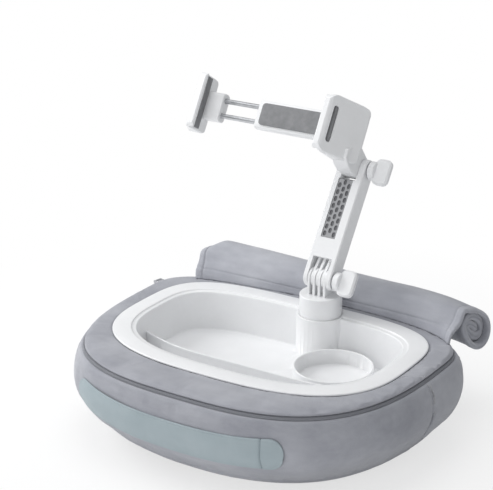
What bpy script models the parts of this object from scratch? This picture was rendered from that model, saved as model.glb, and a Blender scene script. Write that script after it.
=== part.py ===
"""A lap cushion with a lift-out tray and a folding clamp arm for a tablet.

Metres, +Z up, the cushion's flat base at Z = 0, +X along the rolled cover, -Y at the user.
"""

import math

import bmesh
import bpy
from mathutils import Vector

for old in list(bpy.data.objects):
    bpy.data.objects.remove(old, do_unlink=True)

# Fits
GAP = 0.0003  # between pieces that touch
BOLT_PLAY = 0.0004  # round a bolt, on the radius
SWIVEL_PLAY = 0.0003  # round the post in its socket
WELL_PLAY = 0.0015  # between the tray's basin and the cushion's well

# Cushion: a D-shaped outline at the zip, and the side's profile from it
CUSHION_HALF_WIDTH = 0.195
CUSHION_FRONT = 0.212  # from the outline's widest line to its front
CUSHION_BACK = 0.080
CUSHION_WIDEST_Y = 0.040
CUSHION_POWER = 2.9  # at the front; 2 is an ellipse, more is squarer
CUSHION_POWER_BACK = 3.6
OUTLINE_POINTS = 60
SEAT_HEIGHT = 0.1033  # fabric under the tray's rim
CROWN = 0.0013  # the top band's bulge above the seat
ZIP_DROP = 0.0048  # from the seat down to the zip
GROOVE_DEPTH = 0.0035
GROOVE_HALF_HEIGHT = 0.0026
SIDE_DROP = 0.0050  # from the zip down to the side panel's upper edge
BASE_THICKNESS = 0.0030
SIDE_PROFILE = (  # share of the side's height, bulge from the zip's outline, power
    (0.000, -0.0370, 2.45),
    (0.052, -0.0225, 2.50),
    (0.207, -0.0060, 2.60),
    (0.407, 0.0045, 2.80),
    (0.629, 0.0100, 2.90),
    (0.850, 0.0090, 2.90),
    (1.000, 0.0060, 2.90),
)

# Zip
ZIP_START_DEG = 24.0  # where it ends at the back, each side
ZIP_TAPE = 0.0016
ZIP_TEETH_HALF_HEIGHT = 0.0019
SLIDER_LENGTH = 0.012
SLIDER_HEIGHT = 0.0046
SLIDER_DEPTH = 0.0040
PULL_REACH = 0.0082  # from the slider's inner face out to the pull's pin
PULL_LENGTH = 0.024
PULL_WIDTH = 0.0072
PULL_THICKNESS = 0.0016
PULL_PIN = 0.0010
PULL_EYE = 0.0018

# Carry strap on the front
STRAP_LEFT = -0.140
STRAP_RIGHT = 0.1008
STRAP_TAB = 0.0215
STRAP_HALF_WIDTH = 0.0172
STRAP_LEVEL = 0.612  # share of the side's height, at the middle
STRAP_RISE = 0.0041  # how much higher the strap runs at its right end
STRAP_THICKNESS = 0.0016
STRAP_TAB_THICKNESS = 0.0026
STRAP_STAND_OFF = 0.0011

# Rolled cover
COVER_THICKNESS = 0.0050
ROLL_Y = 0.1528
ROLL_Z = 0.1060
ROLL_HALF_DEPTH = 0.0377
ROLL_HALF_HEIGHT = 0.0227
ROLL_TILT_DEG = -30.0
ROLL_PITCH = 0.0090
ROLL_TURNS = 2.2
ROLL_START_DEG = 180.0
ROLL_HALF_LENGTH = 0.181
ROOT_HALF_LENGTH = 0.165
ROOT_INSET = 0.0030  # from the zip's outline to the seam that the cover turns on
ROLL_STEPS_PER_TURN = 20
RISER_STEPS = 6

# Tray
RIM_HALF_WIDTH = 0.173
RIM_FRONT = 0.125
RIM_BACK = 0.106
RIM_POWER_FRONT = 2.75
RIM_POWER_BACK = 3.8
RIM_THICKNESS = 0.0027
RIM_WIDTH = 0.0195
LEDGE_WIDTH = 0.0052
LEDGE_DROP = 0.0014
TRAY_WALL = 0.0022
TRAY_DRAFT = 0.0050  # how far the walls lean in, top to floor
TRAY_DEPTH = 0.0458  # from the rim's top to the floor
DIVIDER_THICKNESS = 0.0026
DIVIDER_HEIGHT = 0.0245
DIVIDER_Y = -0.045
DIVIDER_SWEEP = 0.018  # how far its ends turn back towards the middle
CUP_X = 0.072
CUP_Y = 0.022
CUP_RADIUS = 0.042
CUP_WALL_HEIGHT = 0.0165

# Post in its socket
POST_X = 0.0194
POST_Y = 0.083
POST_RADIUS = 0.0243
POST_TOP = 0.1300
HINGE_RISE = 0.0180  # from the post's top to the lower hinge's axis
POST_WALL = 0.0030
SOCKET_WALL = 0.0029
SOCKET_FLOOR = 0.0040
SCREW_RADIUS = 0.0020
SCREW_LENGTH = 0.0130
SCREW_HEAD_RADIUS = 0.0042
SCREW_HEAD_HEIGHT = 0.0024
WASHER_THICKNESS = 0.0007

# Arm between its two hinges
ARM_LENGTH = 0.1331
ARM_LEAN_DEG = 34.4
ARM_HALF_WIDTH = 0.0175
ARM_HALF_DEPTH = 0.0115
LOWER_FORK_HALF_GAP = 0.0120
UPPER_FORK_HALF_GAP = 0.0100
LOWER_POCKET = 0.0215  # from the lower axis to the pocket's end
NOD_RAMP = 0.0034  # how much lower the upper pocket's floor is at the front
LEAF_THICKNESS = 0.0030
POST_LEAVES = 4
LEAF_RADIUS = 0.0110
ARM_LEAF_RADIUS = 0.0103
LEAF_CLEAR = 0.0008  # between a leaf's round end and what faces it
INSERT_HALF_WIDTH = 0.0089
INSERT_SHIFT = -0.0018  # from the arm's middle, away from the knobs
INSERT_START = 0.0448
INSERT_THICKNESS = 0.0025
INSERT_SUNK = 0.0008
BACK_CHANNEL_DEPTH = 0.0150
BACK_CHANNEL_HALF_WIDTH = 0.0125
BACK_CHANNEL_START = 0.0300
BACK_CHANNEL_END = 0.1080

# Hinge bolts and wing knobs
BOLT_RADIUS = 0.0029
BOLT_HEAD_RADIUS = 0.0056
BOLT_HEAD_THICKNESS = 0.0026
BOLT_REACH = 0.0195  # past the fork, into the knob
KNOB_WASHER = 0.0010
KNOB_WASHER_RADIUS = 0.0086
COLLAR_RADIUS = 0.0110
COLLAR_LENGTH = 0.0075
WING_START = 0.0050  # from the collar's inner face
WING_WIDTH = 0.0195
WING_HALF_SPAN = 0.0152
WING_THICKNESS = 0.0084
WING_CORNER = 0.0062
NUT_RADIUS = 0.0056
NUT_LENGTH = 0.0050

# Clamp head, in its own frame: X along the rail, Y behind the tablet, Z up its face
HEAD_TILT_DEG = 30.8
HEAD_REACH = 0.0692  # tablet face to upper hinge, along Y
HEAD_RISE = 0.02985  # upper hinge up to the jaws' middle
HEAD_SIDE = 0.0149  # upper hinge to the fixed jaw's face, along X
JAW_HALF_HEIGHT = 0.0332
JAW_FRONT = 0.0125  # front of the lip before the tablet's face
LIP_THICKNESS = 0.0045
LIP_REACH = 0.0040
JAW_PAD = 0.0017
JAW_EDGE = 0.0050  # the jaw's width at its front
JAW_FLARE = 0.467  # how fast its outer side spreads
JAW_DEPTH = 0.0452
JAW_WALL = 0.0026
JAW_CORNER = 0.0120
JAW_BACK_CORNER = 0.0165
JAW_SOFT = 0.0015
GRIP_DEPTH = 0.0088  # how far back the lining goes
SLOT_FRONT = -0.0065
SLOT_WIDTH = 0.0070
SLOT_LENGTH = 0.0420
LOBE_RADIUS = 0.0130
OPENING = 0.1665  # between the jaws' linings, as photographed
SMALL_JAW_DEPTH = 0.0262
RAIL_LENGTH = 0.0965
RAIL_FRONT = 0.0095
RAIL_BACK = 0.0250
RAIL_HALF_HEIGHT = 0.0170
BACK_PAD = 0.0020
BACK_PAD_HALF_HEIGHT = 0.0130
ROD_RADIUS = 0.0030
ROD_SPREAD = 0.0090
ROD_INSIDE = 0.0420  # rod length inside the rail, at rest
ROD_IN_JAW = 0.0160
STOP_LENGTH = 0.0030
SPRING_BORE = 0.0056
RAIL_END_WALL = 0.0060
SPRING_WIRE = 0.0005
SPRING_TURNS = 9
FOOT_LENGTH = 0.0205
COVER_PLATE = 0.0022
COVER_PLATE_START = 0.0055
RAIL_SCREW_RADIUS = 0.0012
RAIL_SCREW_HEAD = 0.0024

ROUND = 32
SMALL_ROUND = 20
TINY_ROUND = 12


def material(name, colour, roughness, metallic=0.0):
    """A plain Principled material."""
    made = bpy.data.materials.new(name)
    made.use_nodes = True
    shader = made.node_tree.nodes["Principled BSDF"]
    shader.inputs["Base Color"].default_value = (*colour, 1.0)
    shader.inputs["Roughness"].default_value = roughness
    shader.inputs["Metallic"].default_value = metallic
    return made


FABRIC = (0.36, 0.37, 0.41)
FABRIC_DARK = (0.20, 0.21, 0.24)
STRAP_GREY = (0.27, 0.33, 0.35)
WHITE = (0.86, 0.87, 0.88)
RUBBER = (0.18, 0.18, 0.19)
STEEL = (0.62, 0.63, 0.65)


def place(name, mesh, colour, roughness, parent=None, at=(0, 0, 0), metallic=0.0):
    """One named, smooth-shaded object with its own material."""
    bmesh.ops.recalc_face_normals(mesh, faces=mesh.faces)
    data = bpy.data.meshes.new(name)
    mesh.to_mesh(data)
    mesh.free()
    data.materials.append(material(name, colour, roughness, metallic))
    data.shade_smooth()
    data.set_sharp_from_angle(angle=math.radians(35))
    thing = bpy.data.objects.new(name, data)
    thing.location = at
    thing.parent = parent
    bpy.context.collection.objects.link(thing)
    return thing


def frame(name, at, tilt_deg=0.0, parent=None):
    """An empty on a joint's axis, leaning back by tilt_deg."""
    empty = bpy.data.objects.new(name, None)
    empty.location = at
    empty.rotation_euler = (-math.radians(tilt_deg), 0, 0)
    empty.parent = parent
    bpy.context.collection.objects.link(empty)
    return empty


def combine(target, mesh, operation="DIFFERENCE"):
    """Cut a mesh out of an object, join it on or keep what both share."""
    bmesh.ops.recalc_face_normals(mesh, faces=mesh.faces)
    name = f"{target.name}_form_{len(target.modifiers)}"
    data = bpy.data.meshes.new(name)
    mesh.to_mesh(data)
    mesh.free()
    form = bpy.data.objects.new(name, data)
    form.hide_render = True
    form.display_type = "WIRE"
    form.parent = target.parent
    form.location = target.location
    bpy.context.collection.objects.link(form)
    step = target.modifiers.new(operation.title(), "BOOLEAN")
    step.operation = operation
    step.solver = "EXACT"
    step.object = form


def loft(rings, closed=False):
    """Skin a row of equal rings; the ends are capped, or joined to each other if closed."""
    mesh = bmesh.new()
    rows = [[mesh.verts.new(p) for p in ring] for ring in rings]
    count = len(rows[0])
    pairs = list(zip(rows, rows[1:]))
    if closed:
        pairs.append((rows[-1], rows[0]))
    for low, high in pairs:
        for i in range(count):
            j = (i + 1) % count
            mesh.faces.new((low[i], low[j], high[j], high[i]))
    if not closed:
        mesh.faces.new(rows[0])
        mesh.faces.new(rows[-1])
    return mesh


def inset(outline, amount):
    """Move each side of a counter-clockwise outline inwards."""
    moved = []
    count = len(outline)
    for i in range(count):
        here = Vector(outline[i])
        before = (here - Vector(outline[i - 1])).normalized()
        after = (Vector(outline[(i + 1) % count]) - here).normalized()
        side = Vector((-before.y - after.y, before.x + after.x))
        side.normalize()
        stretch = max(0.5, side.dot(Vector((-before.y, before.x))))
        moved.append(tuple(here + side * (amount / stretch)))
    return moved


def turn_to(axis, across, up, along):
    """A point from two outline coordinates and one along the axis."""
    if axis == "X":
        return (along, across, up)
    if axis == "Y":
        return (across, along, up)
    return (across, up, along)


def prism(outline, low, high, axis="Z", soft=0.0):
    """Extrude an outline along an axis, with its end edges chamfered by soft."""
    area = sum(
        a[0] * b[1] - b[0] * a[1] for a, b in zip(outline, outline[1:] + outline[:1])
    )
    if area < 0:
        outline = outline[::-1]
    stations = [(low, 0.0), (high, 0.0)]
    if soft:
        stations = [(low, soft), (low + soft, 0.0), (high - soft, 0.0), (high, soft)]
    rings = []
    for along, amount in stations:
        shape = inset(outline, amount) if amount else outline
        rings.append([turn_to(axis, a, b, along) for a, b in shape])
    return loft(rings)


def circle(radius, points, centre=(0.0, 0.0)):
    """A circle's outline."""
    return arc(centre, radius, 0, 360 * (points - 1) / points, points)


def arc(centre, radius, start_deg, end_deg, points):
    """Points along an arc, both ends included."""
    made = []
    for i in range(points):
        turn = math.radians(start_deg + (end_deg - start_deg) * i / (points - 1))
        made.append(
            (centre[0] + radius * math.cos(turn), centre[1] + radius * math.sin(turn))
        )
    return made


def hexagon(radius, points_per_side):
    """A hexagon's outline, with extra points along its sides."""
    corners = circle(radius, 6)
    made = []
    for here, ahead in zip(corners, corners[1:] + corners[:1]):
        for i in range(points_per_side):
            share = i / points_per_side
            made.append(tuple(a + (b - a) * share for a, b in zip(here, ahead)))
    return made


def rod(radius, low, high, axis="X", points=SMALL_ROUND, centre=(0.0, 0.0)):
    """A plain cylinder."""
    return prism(circle(radius, points, centre), low, high, axis)


def tube(outer, inner, low, high, axis="X", points=SMALL_ROUND, centre=(0.0, 0.0)):
    """A cylinder with a bore right through it."""
    rings = [
        [turn_to(axis, a, b, along) for a, b in circle(radius, points, centre)]
        for radius, along in ((outer, low), (outer, high), (inner, high), (inner, low))
    ]
    return loft(rings, closed=True)


def box(low, high):
    """An axis-aligned block between two corners."""
    outline = [(low[0], low[1]), (high[0], low[1]), (high[0], high[1]), (low[0], high[1])]
    return prism(outline, low[2], high[2])


def rounded_box_outline(low, high, corner, points=5):
    """A rectangle's outline with round corners, as (across, up) pairs."""
    (left, bottom), (right, top) = low, high
    made = arc((right - corner, top - corner), corner, 0, 90, points)
    made += arc((left + corner, top - corner), corner, 90, 180, points)
    made += arc((left + corner, bottom + corner), corner, 180, 270, points)
    made += arc((right - corner, bottom + corner), corner, 270, 360, points)
    return made


def signed_power(value, power):
    return math.copysign(abs(value) ** power, value)


def d_outline(half_width, front, back, power_front, power_back, centre_y=0.0):
    """A squarish D: a superellipse with a different front and back."""
    made = []
    for i in range(OUTLINE_POINTS):
        turn = 2 * math.pi * i / OUTLINE_POINTS
        across, along = math.cos(turn), math.sin(turn)
        depth, power = (front, power_front) if along < 0 else (back, power_back)
        made.append(
            (
                half_width * signed_power(across, 2 / power),
                centre_y + depth * signed_power(along, 2 / power),
            )
        )
    return made


def cushion_outline(bulge, power=CUSHION_POWER):
    return d_outline(
        CUSHION_HALF_WIDTH + bulge,
        CUSHION_FRONT + bulge,
        CUSHION_BACK + bulge,
        power,
        CUSHION_POWER_BACK,
        CUSHION_WIDEST_Y,
    )


def rim_outline(grow):
    return d_outline(
        RIM_HALF_WIDTH + grow,
        RIM_FRONT + grow,
        RIM_BACK + grow,
        RIM_POWER_FRONT,
        RIM_POWER_BACK,
    )


def between(first, second, share):
    return [
        (a[0] + (b[0] - a[0]) * share, a[1] + (b[1] - a[1]) * share)
        for a, b in zip(first, second)
    ]


def level(outline, height):
    return [(x, y, height) for x, y in outline]


# Heights that follow from the sizes above
BODY_BOTTOM = BASE_THICKNESS + GAP
ZIP_HEIGHT = SEAT_HEIGHT - ZIP_DROP
SIDE_HEIGHT = ZIP_HEIGHT - SIDE_DROP - BODY_BOTTOM
LOWER_AXIS_Z = POST_TOP + HINGE_RISE
RIM_BOTTOM = SEAT_HEIGHT + GAP
RIM_TOP = RIM_BOTTOM + RIM_THICKNESS
FLOOR_TOP = RIM_TOP - TRAY_DEPTH
FLOOR_BOTTOM = FLOOR_TOP - TRAY_WALL
WELL_FLOOR = FLOOR_BOTTOM - GAP
INNER_WALL = RIM_WIDTH + LEDGE_WIDTH  # from the rim's edge to the basin's inner face
BASIN_FILLET = 0.0014
SOCKET_RADIUS = POST_RADIUS + SWIVEL_PLAY + SOCKET_WALL
SOCKET_BOTTOM = FLOOR_BOTTOM + SCREW_HEAD_HEIGHT + WASHER_THICKNESS + 4 * GAP
POST_BOTTOM = SOCKET_BOTTOM + SOCKET_FLOOR + GAP
UPPER_POCKET_FLOOR = ARM_LENGTH - LOBE_RADIUS - 2 * LEAF_CLEAR
UPPER_POCKET_FRONT = UPPER_POCKET_FLOOR - NOD_RAMP


def basin_ring(grow, height, outside):
    """The basin's outer or inner skin at a height, with the walls' draft."""
    share = (RIM_BOTTOM - height) / (RIM_BOTTOM - FLOOR_BOTTOM)
    wall = INNER_WALL - (TRAY_WALL if outside else 0.0)
    return level(rim_outline(grow - wall - TRAY_DRAFT * share), height)


def cushion_body():
    """The filled cushion: drawn-in sides, a zip groove, a crowned top and the well."""
    zip_line = cushion_outline(0.0)
    rim = rim_outline(0.0)
    rings = [
        level(cushion_outline(bulge, power), BODY_BOTTOM + share * SIDE_HEIGHT)
        for share, bulge, power in SIDE_PROFILE
    ]
    half = GROOVE_HALF_HEIGHT
    lip = GROOVE_DEPTH + 0.0010
    rings += [
        level(cushion_outline(lip), ZIP_HEIGHT - half - 0.0006),
        level(cushion_outline(lip - GROOVE_DEPTH), ZIP_HEIGHT - half),
        level(cushion_outline(lip - GROOVE_DEPTH - 0.0005), ZIP_HEIGHT + half),
        level(cushion_outline(lip - 0.0020), ZIP_HEIGHT + half + 0.0006),
        level(between(zip_line, rim, 0.16), SEAT_HEIGHT + 0.4 * CROWN),
        level(between(zip_line, rim, 0.5), SEAT_HEIGHT + CROWN),
        level(between(zip_line, rim, 0.85), SEAT_HEIGHT + 0.7 * CROWN),
        level(rim_outline(0.0006), SEAT_HEIGHT),
    ]
    well_floor_edge = WELL_FLOOR + BASIN_FILLET
    rings += [
        basin_ring(WELL_PLAY, SEAT_HEIGHT, outside=True),
        basin_ring(WELL_PLAY, well_floor_edge, outside=True),
        basin_ring(
            WELL_PLAY - BASIN_FILLET * 0.3, WELL_FLOOR + BASIN_FILLET * 0.3, outside=True
        ),
        basin_ring(WELL_PLAY - BASIN_FILLET, WELL_FLOOR, outside=True),
    ]
    body = place("cushion_body", loft(rings), FABRIC, 0.95)
    notch = rod(
        SOCKET_RADIUS + WELL_PLAY,
        WELL_FLOOR + GAP / 2,
        SEAT_HEIGHT + 0.02,
        "Z",
        ROUND,
        (POST_X, POST_Y),
    )
    combine(body, notch)


def base_panel():
    """The stitched-on fabric base, the flat face that it all rests on."""
    _, bulge, power = SIDE_PROFILE[0]
    outline = cushion_outline(bulge - 0.0010, power)
    panel = prism(outline, 0.0, BASE_THICKNESS, soft=0.0006)
    place("base_panel", panel, FABRIC_DARK, 0.95)


def zip_point(turn_deg, bulge):
    """A point of the cushion's outline, by its angle parameter."""
    turn = math.radians(turn_deg)
    across, along = math.cos(turn), math.sin(turn)
    depth, power = CUSHION_FRONT + bulge, CUSHION_POWER
    if along > 0:
        depth, power = CUSHION_BACK + bulge, CUSHION_POWER_BACK
    x = (CUSHION_HALF_WIDTH + bulge) * signed_power(across, 2 / power)
    y = CUSHION_WIDEST_Y + depth * signed_power(along, 2 / power)
    return Vector((x, y, ZIP_HEIGHT))


def zip_track():
    """The closed run of teeth in its groove, from one back corner round the front."""
    seat = 0.0010 + GAP
    step = 360 / OUTLINE_POINTS
    turns = [ZIP_START_DEG - step * i for i in range(500)]
    turns = [t for t in turns if t >= -180 - ZIP_START_DEG]
    sections = []
    for turn in turns:
        inner = zip_point(turn, seat)
        outer = zip_point(turn, seat + ZIP_TAPE)
        rise = Vector((0, 0, ZIP_TEETH_HALF_HEIGHT))
        sections.append([inner - rise, outer - rise, outer + rise, inner + rise])
    place("zip_track", loft(sections), FABRIC_DARK, 0.6)


def slider_frame():
    """An empty at the zip's left end: X along the zip, Y into the cushion."""
    turn = -180 - ZIP_START_DEG + 12
    here = zip_point(turn, 0.0010 + GAP + ZIP_TAPE + GAP)
    ahead = zip_point(turn + 1, 0.0010 + GAP + ZIP_TAPE + GAP)
    along = (ahead - here).normalized()
    empty = frame("slider_frame", here)
    empty.rotation_euler = (0, 0, math.atan2(along.y, along.x))
    return empty


def zip_slider_and_pull():
    """The slider with its pin, and the pull tab that hangs from it."""
    parent = slider_frame()
    hinge = PULL_REACH
    outline = rounded_box_outline(
        (-SLIDER_LENGTH / 2, -SLIDER_HEIGHT / 2),
        (SLIDER_LENGTH / 2, SLIDER_HEIGHT / 2),
        0.0020,
        4,
    )
    body = prism([(a, b) for a, b in outline], -SLIDER_DEPTH, 0, "Y", 0.0006)
    slider = place("zip_slider", body, STEEL, 0.35, parent, metallic=1.0)
    for side in (-1, 1):
        ear = PULL_WIDTH / 2 + GAP
        low, high = sorted((side * ear, side * (ear + 0.0012)))
        cheek = prism(
            rounded_box_outline(
                (-hinge - PULL_EYE, -PULL_EYE), (-SLIDER_DEPTH / 2, PULL_EYE), 0.0012, 3
            ),
            low,
            high,
            "X",
        )
        combine(slider, cheek, "UNION")
    reach = PULL_WIDTH / 2 + GAP + 0.0006
    combine(slider, rod(PULL_PIN, -reach, reach, "X", TINY_ROUND, (-hinge, 0)), "UNION")
    tab = prism(
        rounded_box_outline(
            (-PULL_WIDTH / 2, -PULL_LENGTH), (PULL_WIDTH / 2, PULL_EYE), 0.0017, 3
        ),
        -PULL_THICKNESS / 2,
        PULL_THICKNESS / 2,
        "Y",
    )
    axis = frame("zip_pull_axis", (0, -hinge, 0), parent=parent)
    pull = place("zip_pull", tab, STEEL, 0.35, axis, metallic=1.0)
    knuckle = rod(PULL_EYE, -PULL_WIDTH / 2, PULL_WIDTH / 2, "X", TINY_ROUND)
    combine(pull, knuckle, "UNION")
    bore = rod(PULL_PIN + GAP, -PULL_WIDTH, PULL_WIDTH, "X", TINY_ROUND)
    combine(pull, bore)


def side_shape(height):
    """The side profile's bulge and power at a height, straight between its rows."""
    over = (height - BODY_BOTTOM) / SIDE_HEIGHT
    for low, high in zip(SIDE_PROFILE, SIDE_PROFILE[1:]):
        if over <= high[0]:
            share = (over - low[0]) / (high[0] - low[0])
            return [a + (b - a) * share for a, b in zip(low[1:], high[1:])]
    return SIDE_PROFILE[-1][1:]


def front_point(x, height):
    """Where the cushion's front side is, at a place along it and a height."""
    bulge, power = side_shape(height)
    share = abs(x) / (CUSHION_HALF_WIDTH + bulge)
    reach = (1 - share**power) ** (1 / power)
    return Vector((x, CUSHION_WIDEST_Y - (CUSHION_FRONT + bulge) * reach, height))


def front_normal(x, height):
    step = 0.002
    across = front_point(x + step, height) - front_point(x - step, height)
    up = front_point(x, height + step) - front_point(x, height - step)
    return across.cross(up).normalized()


def wrapped_band(stations, thickness):
    """A band on the cushion's front, from (x, half width) stations."""
    middle = BODY_BOTTOM + STRAP_LEVEL * SIDE_HEIGHT
    rows = (-1.0, -0.5, 0.0, 0.5, 1.0)
    sections = []
    for x, half in stations:
        inner, outer = [], []
        rise = STRAP_RISE * (x / STRAP_RIGHT) ** 2
        for row in rows:
            height = middle + rise + row * half
            out = front_normal(x, height)
            here = front_point(x, height) + out * STRAP_STAND_OFF
            inner.append(here)
            outer.append(here + out * thickness)
        sections.append(inner + outer[::-1])
    return loft(sections)


def carry_strap():
    """The flat hand strap sewn over the cushion's front, and its raised end tab."""
    round_end = [
        (STRAP_LEFT + STRAP_HALF_WIDTH * (1 - math.cos(t)), STRAP_HALF_WIDTH * math.sin(t))
        for t in (math.radians(d) for d in (12, 30, 50, 70, 90))
    ]
    first = round_end[-1][0]
    steps = 16
    straight = [
        (first + (STRAP_RIGHT - first) * i / steps, STRAP_HALF_WIDTH)
        for i in range(1, steps + 1)
    ]
    band = wrapped_band(round_end + straight, STRAP_THICKNESS)
    place("carry_strap", band, STRAP_GREY, 0.7)
    start = STRAP_RIGHT + GAP
    bend = start + STRAP_TAB - STRAP_HALF_WIDTH * 0.8
    tab = [(start, STRAP_HALF_WIDTH), (bend, STRAP_HALF_WIDTH)]
    tab += [
        (bend + STRAP_HALF_WIDTH * 0.8 * math.sin(t), STRAP_HALF_WIDTH * math.cos(t))
        for t in (math.radians(d) for d in (20, 40, 60, 78))
    ]
    place("strap_end_tab", wrapped_band(tab, STRAP_TAB_THICKNESS), STRAP_GREY, 0.6)


def root_point(x):
    """The seam that the cover turns on, inside the zip line at the back."""
    share = min(abs(x) / CUSHION_HALF_WIDTH, 0.98)
    reach = (1 - share**CUSHION_POWER_BACK) ** (1 / CUSHION_POWER_BACK)
    y = CUSHION_WIDEST_Y + CUSHION_BACK * reach - ROOT_INSET
    return Vector((0, y, SEAT_HEIGHT + CROWN + GAP))


def spiral_point(turned_deg):
    """The roll's middle surface after a turn of the tilted spiral."""
    pitch = ROLL_PITCH * turned_deg / 360
    turn = math.radians(ROLL_START_DEG - turned_deg)
    tilt = math.radians(ROLL_TILT_DEG)
    deep = (ROLL_HALF_DEPTH - pitch) * math.cos(turn)
    high = (ROLL_HALF_HEIGHT - pitch) * math.sin(turn)
    y = ROLL_Y + deep * math.cos(tilt) - high * math.sin(tilt)
    z = ROLL_Z + deep * math.sin(tilt) + high * math.cos(tilt)
    return Vector((0, y, z))


def cover_path(x):
    """The cover's middle line in a section: up from the seam, then rolled in."""
    root, start = root_point(x), spiral_point(0)
    ahead = (spiral_point(4) - start).normalized()
    handle = (start - root).length * 0.45
    second = root + Vector((0, 0.25, 1.0)).normalized() * handle
    third = start - ahead * handle
    path = []
    for i in range(RISER_STEPS):
        t = i / RISER_STEPS
        u = 1 - t
        path.append(
            root * u**3 + second * 3 * u * u * t + third * 3 * u * t * t + start * t**3
        )
    steps = int(ROLL_TURNS * ROLL_STEPS_PER_TURN)
    path += [spiral_point(360 * ROLL_TURNS * i / steps) for i in range(steps + 1)]
    return path


def cover_half_length(share):
    """Half the cover's width at a share of its length: a D, widest past its seam."""
    grow = min(share / 0.16, 1.0)
    half = ROOT_HALF_LENGTH + (ROLL_HALF_LENGTH - ROOT_HALF_LENGTH) * math.sin(
        grow * math.pi / 2
    )
    drawn = max(0.0, (share - 0.55) / 0.45)
    return half - 0.030 * drawn**2


def cover_roll():
    """The cushion's zip-off cover, folded back and rolled up behind the tray."""
    columns = (-1.0, -0.5, 0.0, 0.5, 1.0)
    count = len(cover_path(0.0))
    half = COVER_THICKNESS / 2
    sections = []
    for i in range(count):
        reach = cover_half_length(i / (count - 1))
        inner, outer = [], []
        for column in columns:
            x = reach * column
            path = cover_path(ROOT_HALF_LENGTH * column)
            before, after = path[max(i - 1, 0)], path[min(i + 1, count - 1)]
            along = (after - before).normalized()
            out = Vector((0, -along.z, along.y))
            if i == 0:
                out = Vector((0, -1, 0))
            here = path[i]
            here.x = x
            inner.append(here - out * half)
            outer.append(here + out * half)
        sections.append(inner + outer[::-1])
    place("cover_roll", loft(sections), FABRIC, 0.95)


def basin_reach(y, height):
    """Half the basin's width at the middle of its wall."""
    share = (RIM_BOTTOM - height) / (RIM_BOTTOM - FLOOR_BOTTOM)
    grow = TRAY_WALL / 2 - INNER_WALL - TRAY_DRAFT * share
    depth, power = RIM_FRONT + grow, RIM_POWER_FRONT
    if y > 0:
        depth, power = RIM_BACK + grow, RIM_POWER_BACK
    return (RIM_HALF_WIDTH + grow) * (1 - abs(y / depth) ** power) ** (1 / power)


def divider():
    """The long wall behind the front slot, its ends swept back into the sides."""
    low, high = FLOOR_TOP - TRAY_WALL / 2, FLOOR_TOP + DIVIDER_HEIGHT
    sweep_start = 0.060
    rows = []
    for height in (low, high):
        line = []
        for side in (-1, 1):
            end_y = DIVIDER_Y + DIVIDER_SWEEP
            reach = basin_reach(end_y, max(height, FLOOR_TOP + BASIN_FILLET))
            if height < FLOOR_TOP:
                reach -= BASIN_FILLET / 2
            stretch = [
                (
                    side * (sweep_start + (reach - sweep_start) * t),
                    end_y + (DIVIDER_Y - end_y) * (1 - t * t),
                )
                for t in (0.0, 0.25, 0.5, 0.75, 1.0)
            ]
            line += stretch[::-1] if side < 0 else stretch
        rows.append(line)
    sections = []
    half = DIVIDER_THICKNESS / 2
    for i in range(len(rows[0])):
        (xl, yl), (xh, yh) = rows[0][i], rows[1][i]
        sections.append(
            [(xl, yl - half, low), (xl, yl + half, low), (xh, yh + half, high), (xh, yh - half, high)]
        )
    return loft(sections)


def tray():
    """The moulded tray: rim, stepped ledge, basin, dividers and the socket's notch."""
    edge = 0.0006
    fillet_top = FLOOR_BOTTOM + BASIN_FILLET
    inner_fillet = FLOOR_TOP + BASIN_FILLET
    ledge = RIM_TOP - LEDGE_DROP
    rings = [
        basin_ring(-BASIN_FILLET, FLOOR_BOTTOM, outside=True),
        basin_ring(-BASIN_FILLET * 0.3, FLOOR_BOTTOM + BASIN_FILLET * 0.3, outside=True),
        basin_ring(0.0, fillet_top, outside=True),
        basin_ring(0.0, RIM_BOTTOM, outside=True),
        level(rim_outline(-edge), RIM_BOTTOM),
        level(rim_outline(0.0), RIM_BOTTOM + edge),
        level(rim_outline(0.0), RIM_TOP - edge),
        level(rim_outline(-edge), RIM_TOP),
        level(rim_outline(-RIM_WIDTH), RIM_TOP),
        level(rim_outline(-RIM_WIDTH - 0.0006), ledge),
        level(rim_outline(-INNER_WALL + 0.0006), ledge - 0.0002),
        basin_ring(0.0, RIM_BOTTOM, outside=False),
        basin_ring(0.0, inner_fillet, outside=False),
        basin_ring(-BASIN_FILLET * 0.3, FLOOR_TOP + BASIN_FILLET * 0.3, outside=False),
        basin_ring(-BASIN_FILLET, FLOOR_TOP, outside=False),
    ]
    made = place("tray", loft(rings), WHITE, 0.35)
    socket = (POST_X, POST_Y)
    notch = SOCKET_RADIUS + GAP
    combine(made, rod(notch, FLOOR_BOTTOM - 0.01, RIM_TOP + 0.01, "Z", ROUND, socket))
    combine(made, divider(), "UNION")
    cup = tube(
        CUP_RADIUS + DIVIDER_THICKNESS,
        CUP_RADIUS,
        FLOOR_TOP - TRAY_WALL / 2,
        FLOOR_TOP + CUP_WALL_HEIGHT,
        "Z",
        ROUND,
        (CUP_X, CUP_Y),
    )
    combine(made, cup, "UNION")


def post_socket():
    """The cup that the post turns in, moulded apart and welded into the tray's notch."""
    socket = (POST_X, POST_Y)
    cup = rod(SOCKET_RADIUS, FLOOR_BOTTOM, RIM_TOP - GAP, "Z", ROUND, socket)
    made = place("post_socket", cup, WHITE, 0.35)
    bore = POST_RADIUS + SWIVEL_PLAY
    combine(made, rod(bore, POST_BOTTOM - GAP, RIM_TOP + 0.01, "Z", ROUND, socket))
    sink = SCREW_HEAD_RADIUS + 0.0012
    combine(made, rod(sink, FLOOR_BOTTOM - 0.01, SOCKET_BOTTOM, "Z", SMALL_ROUND, socket))
    hole = SCREW_RADIUS + BOLT_PLAY
    combine(made, rod(hole, FLOOR_BOTTOM, RIM_BOTTOM, "Z", TINY_ROUND, socket))


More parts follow.
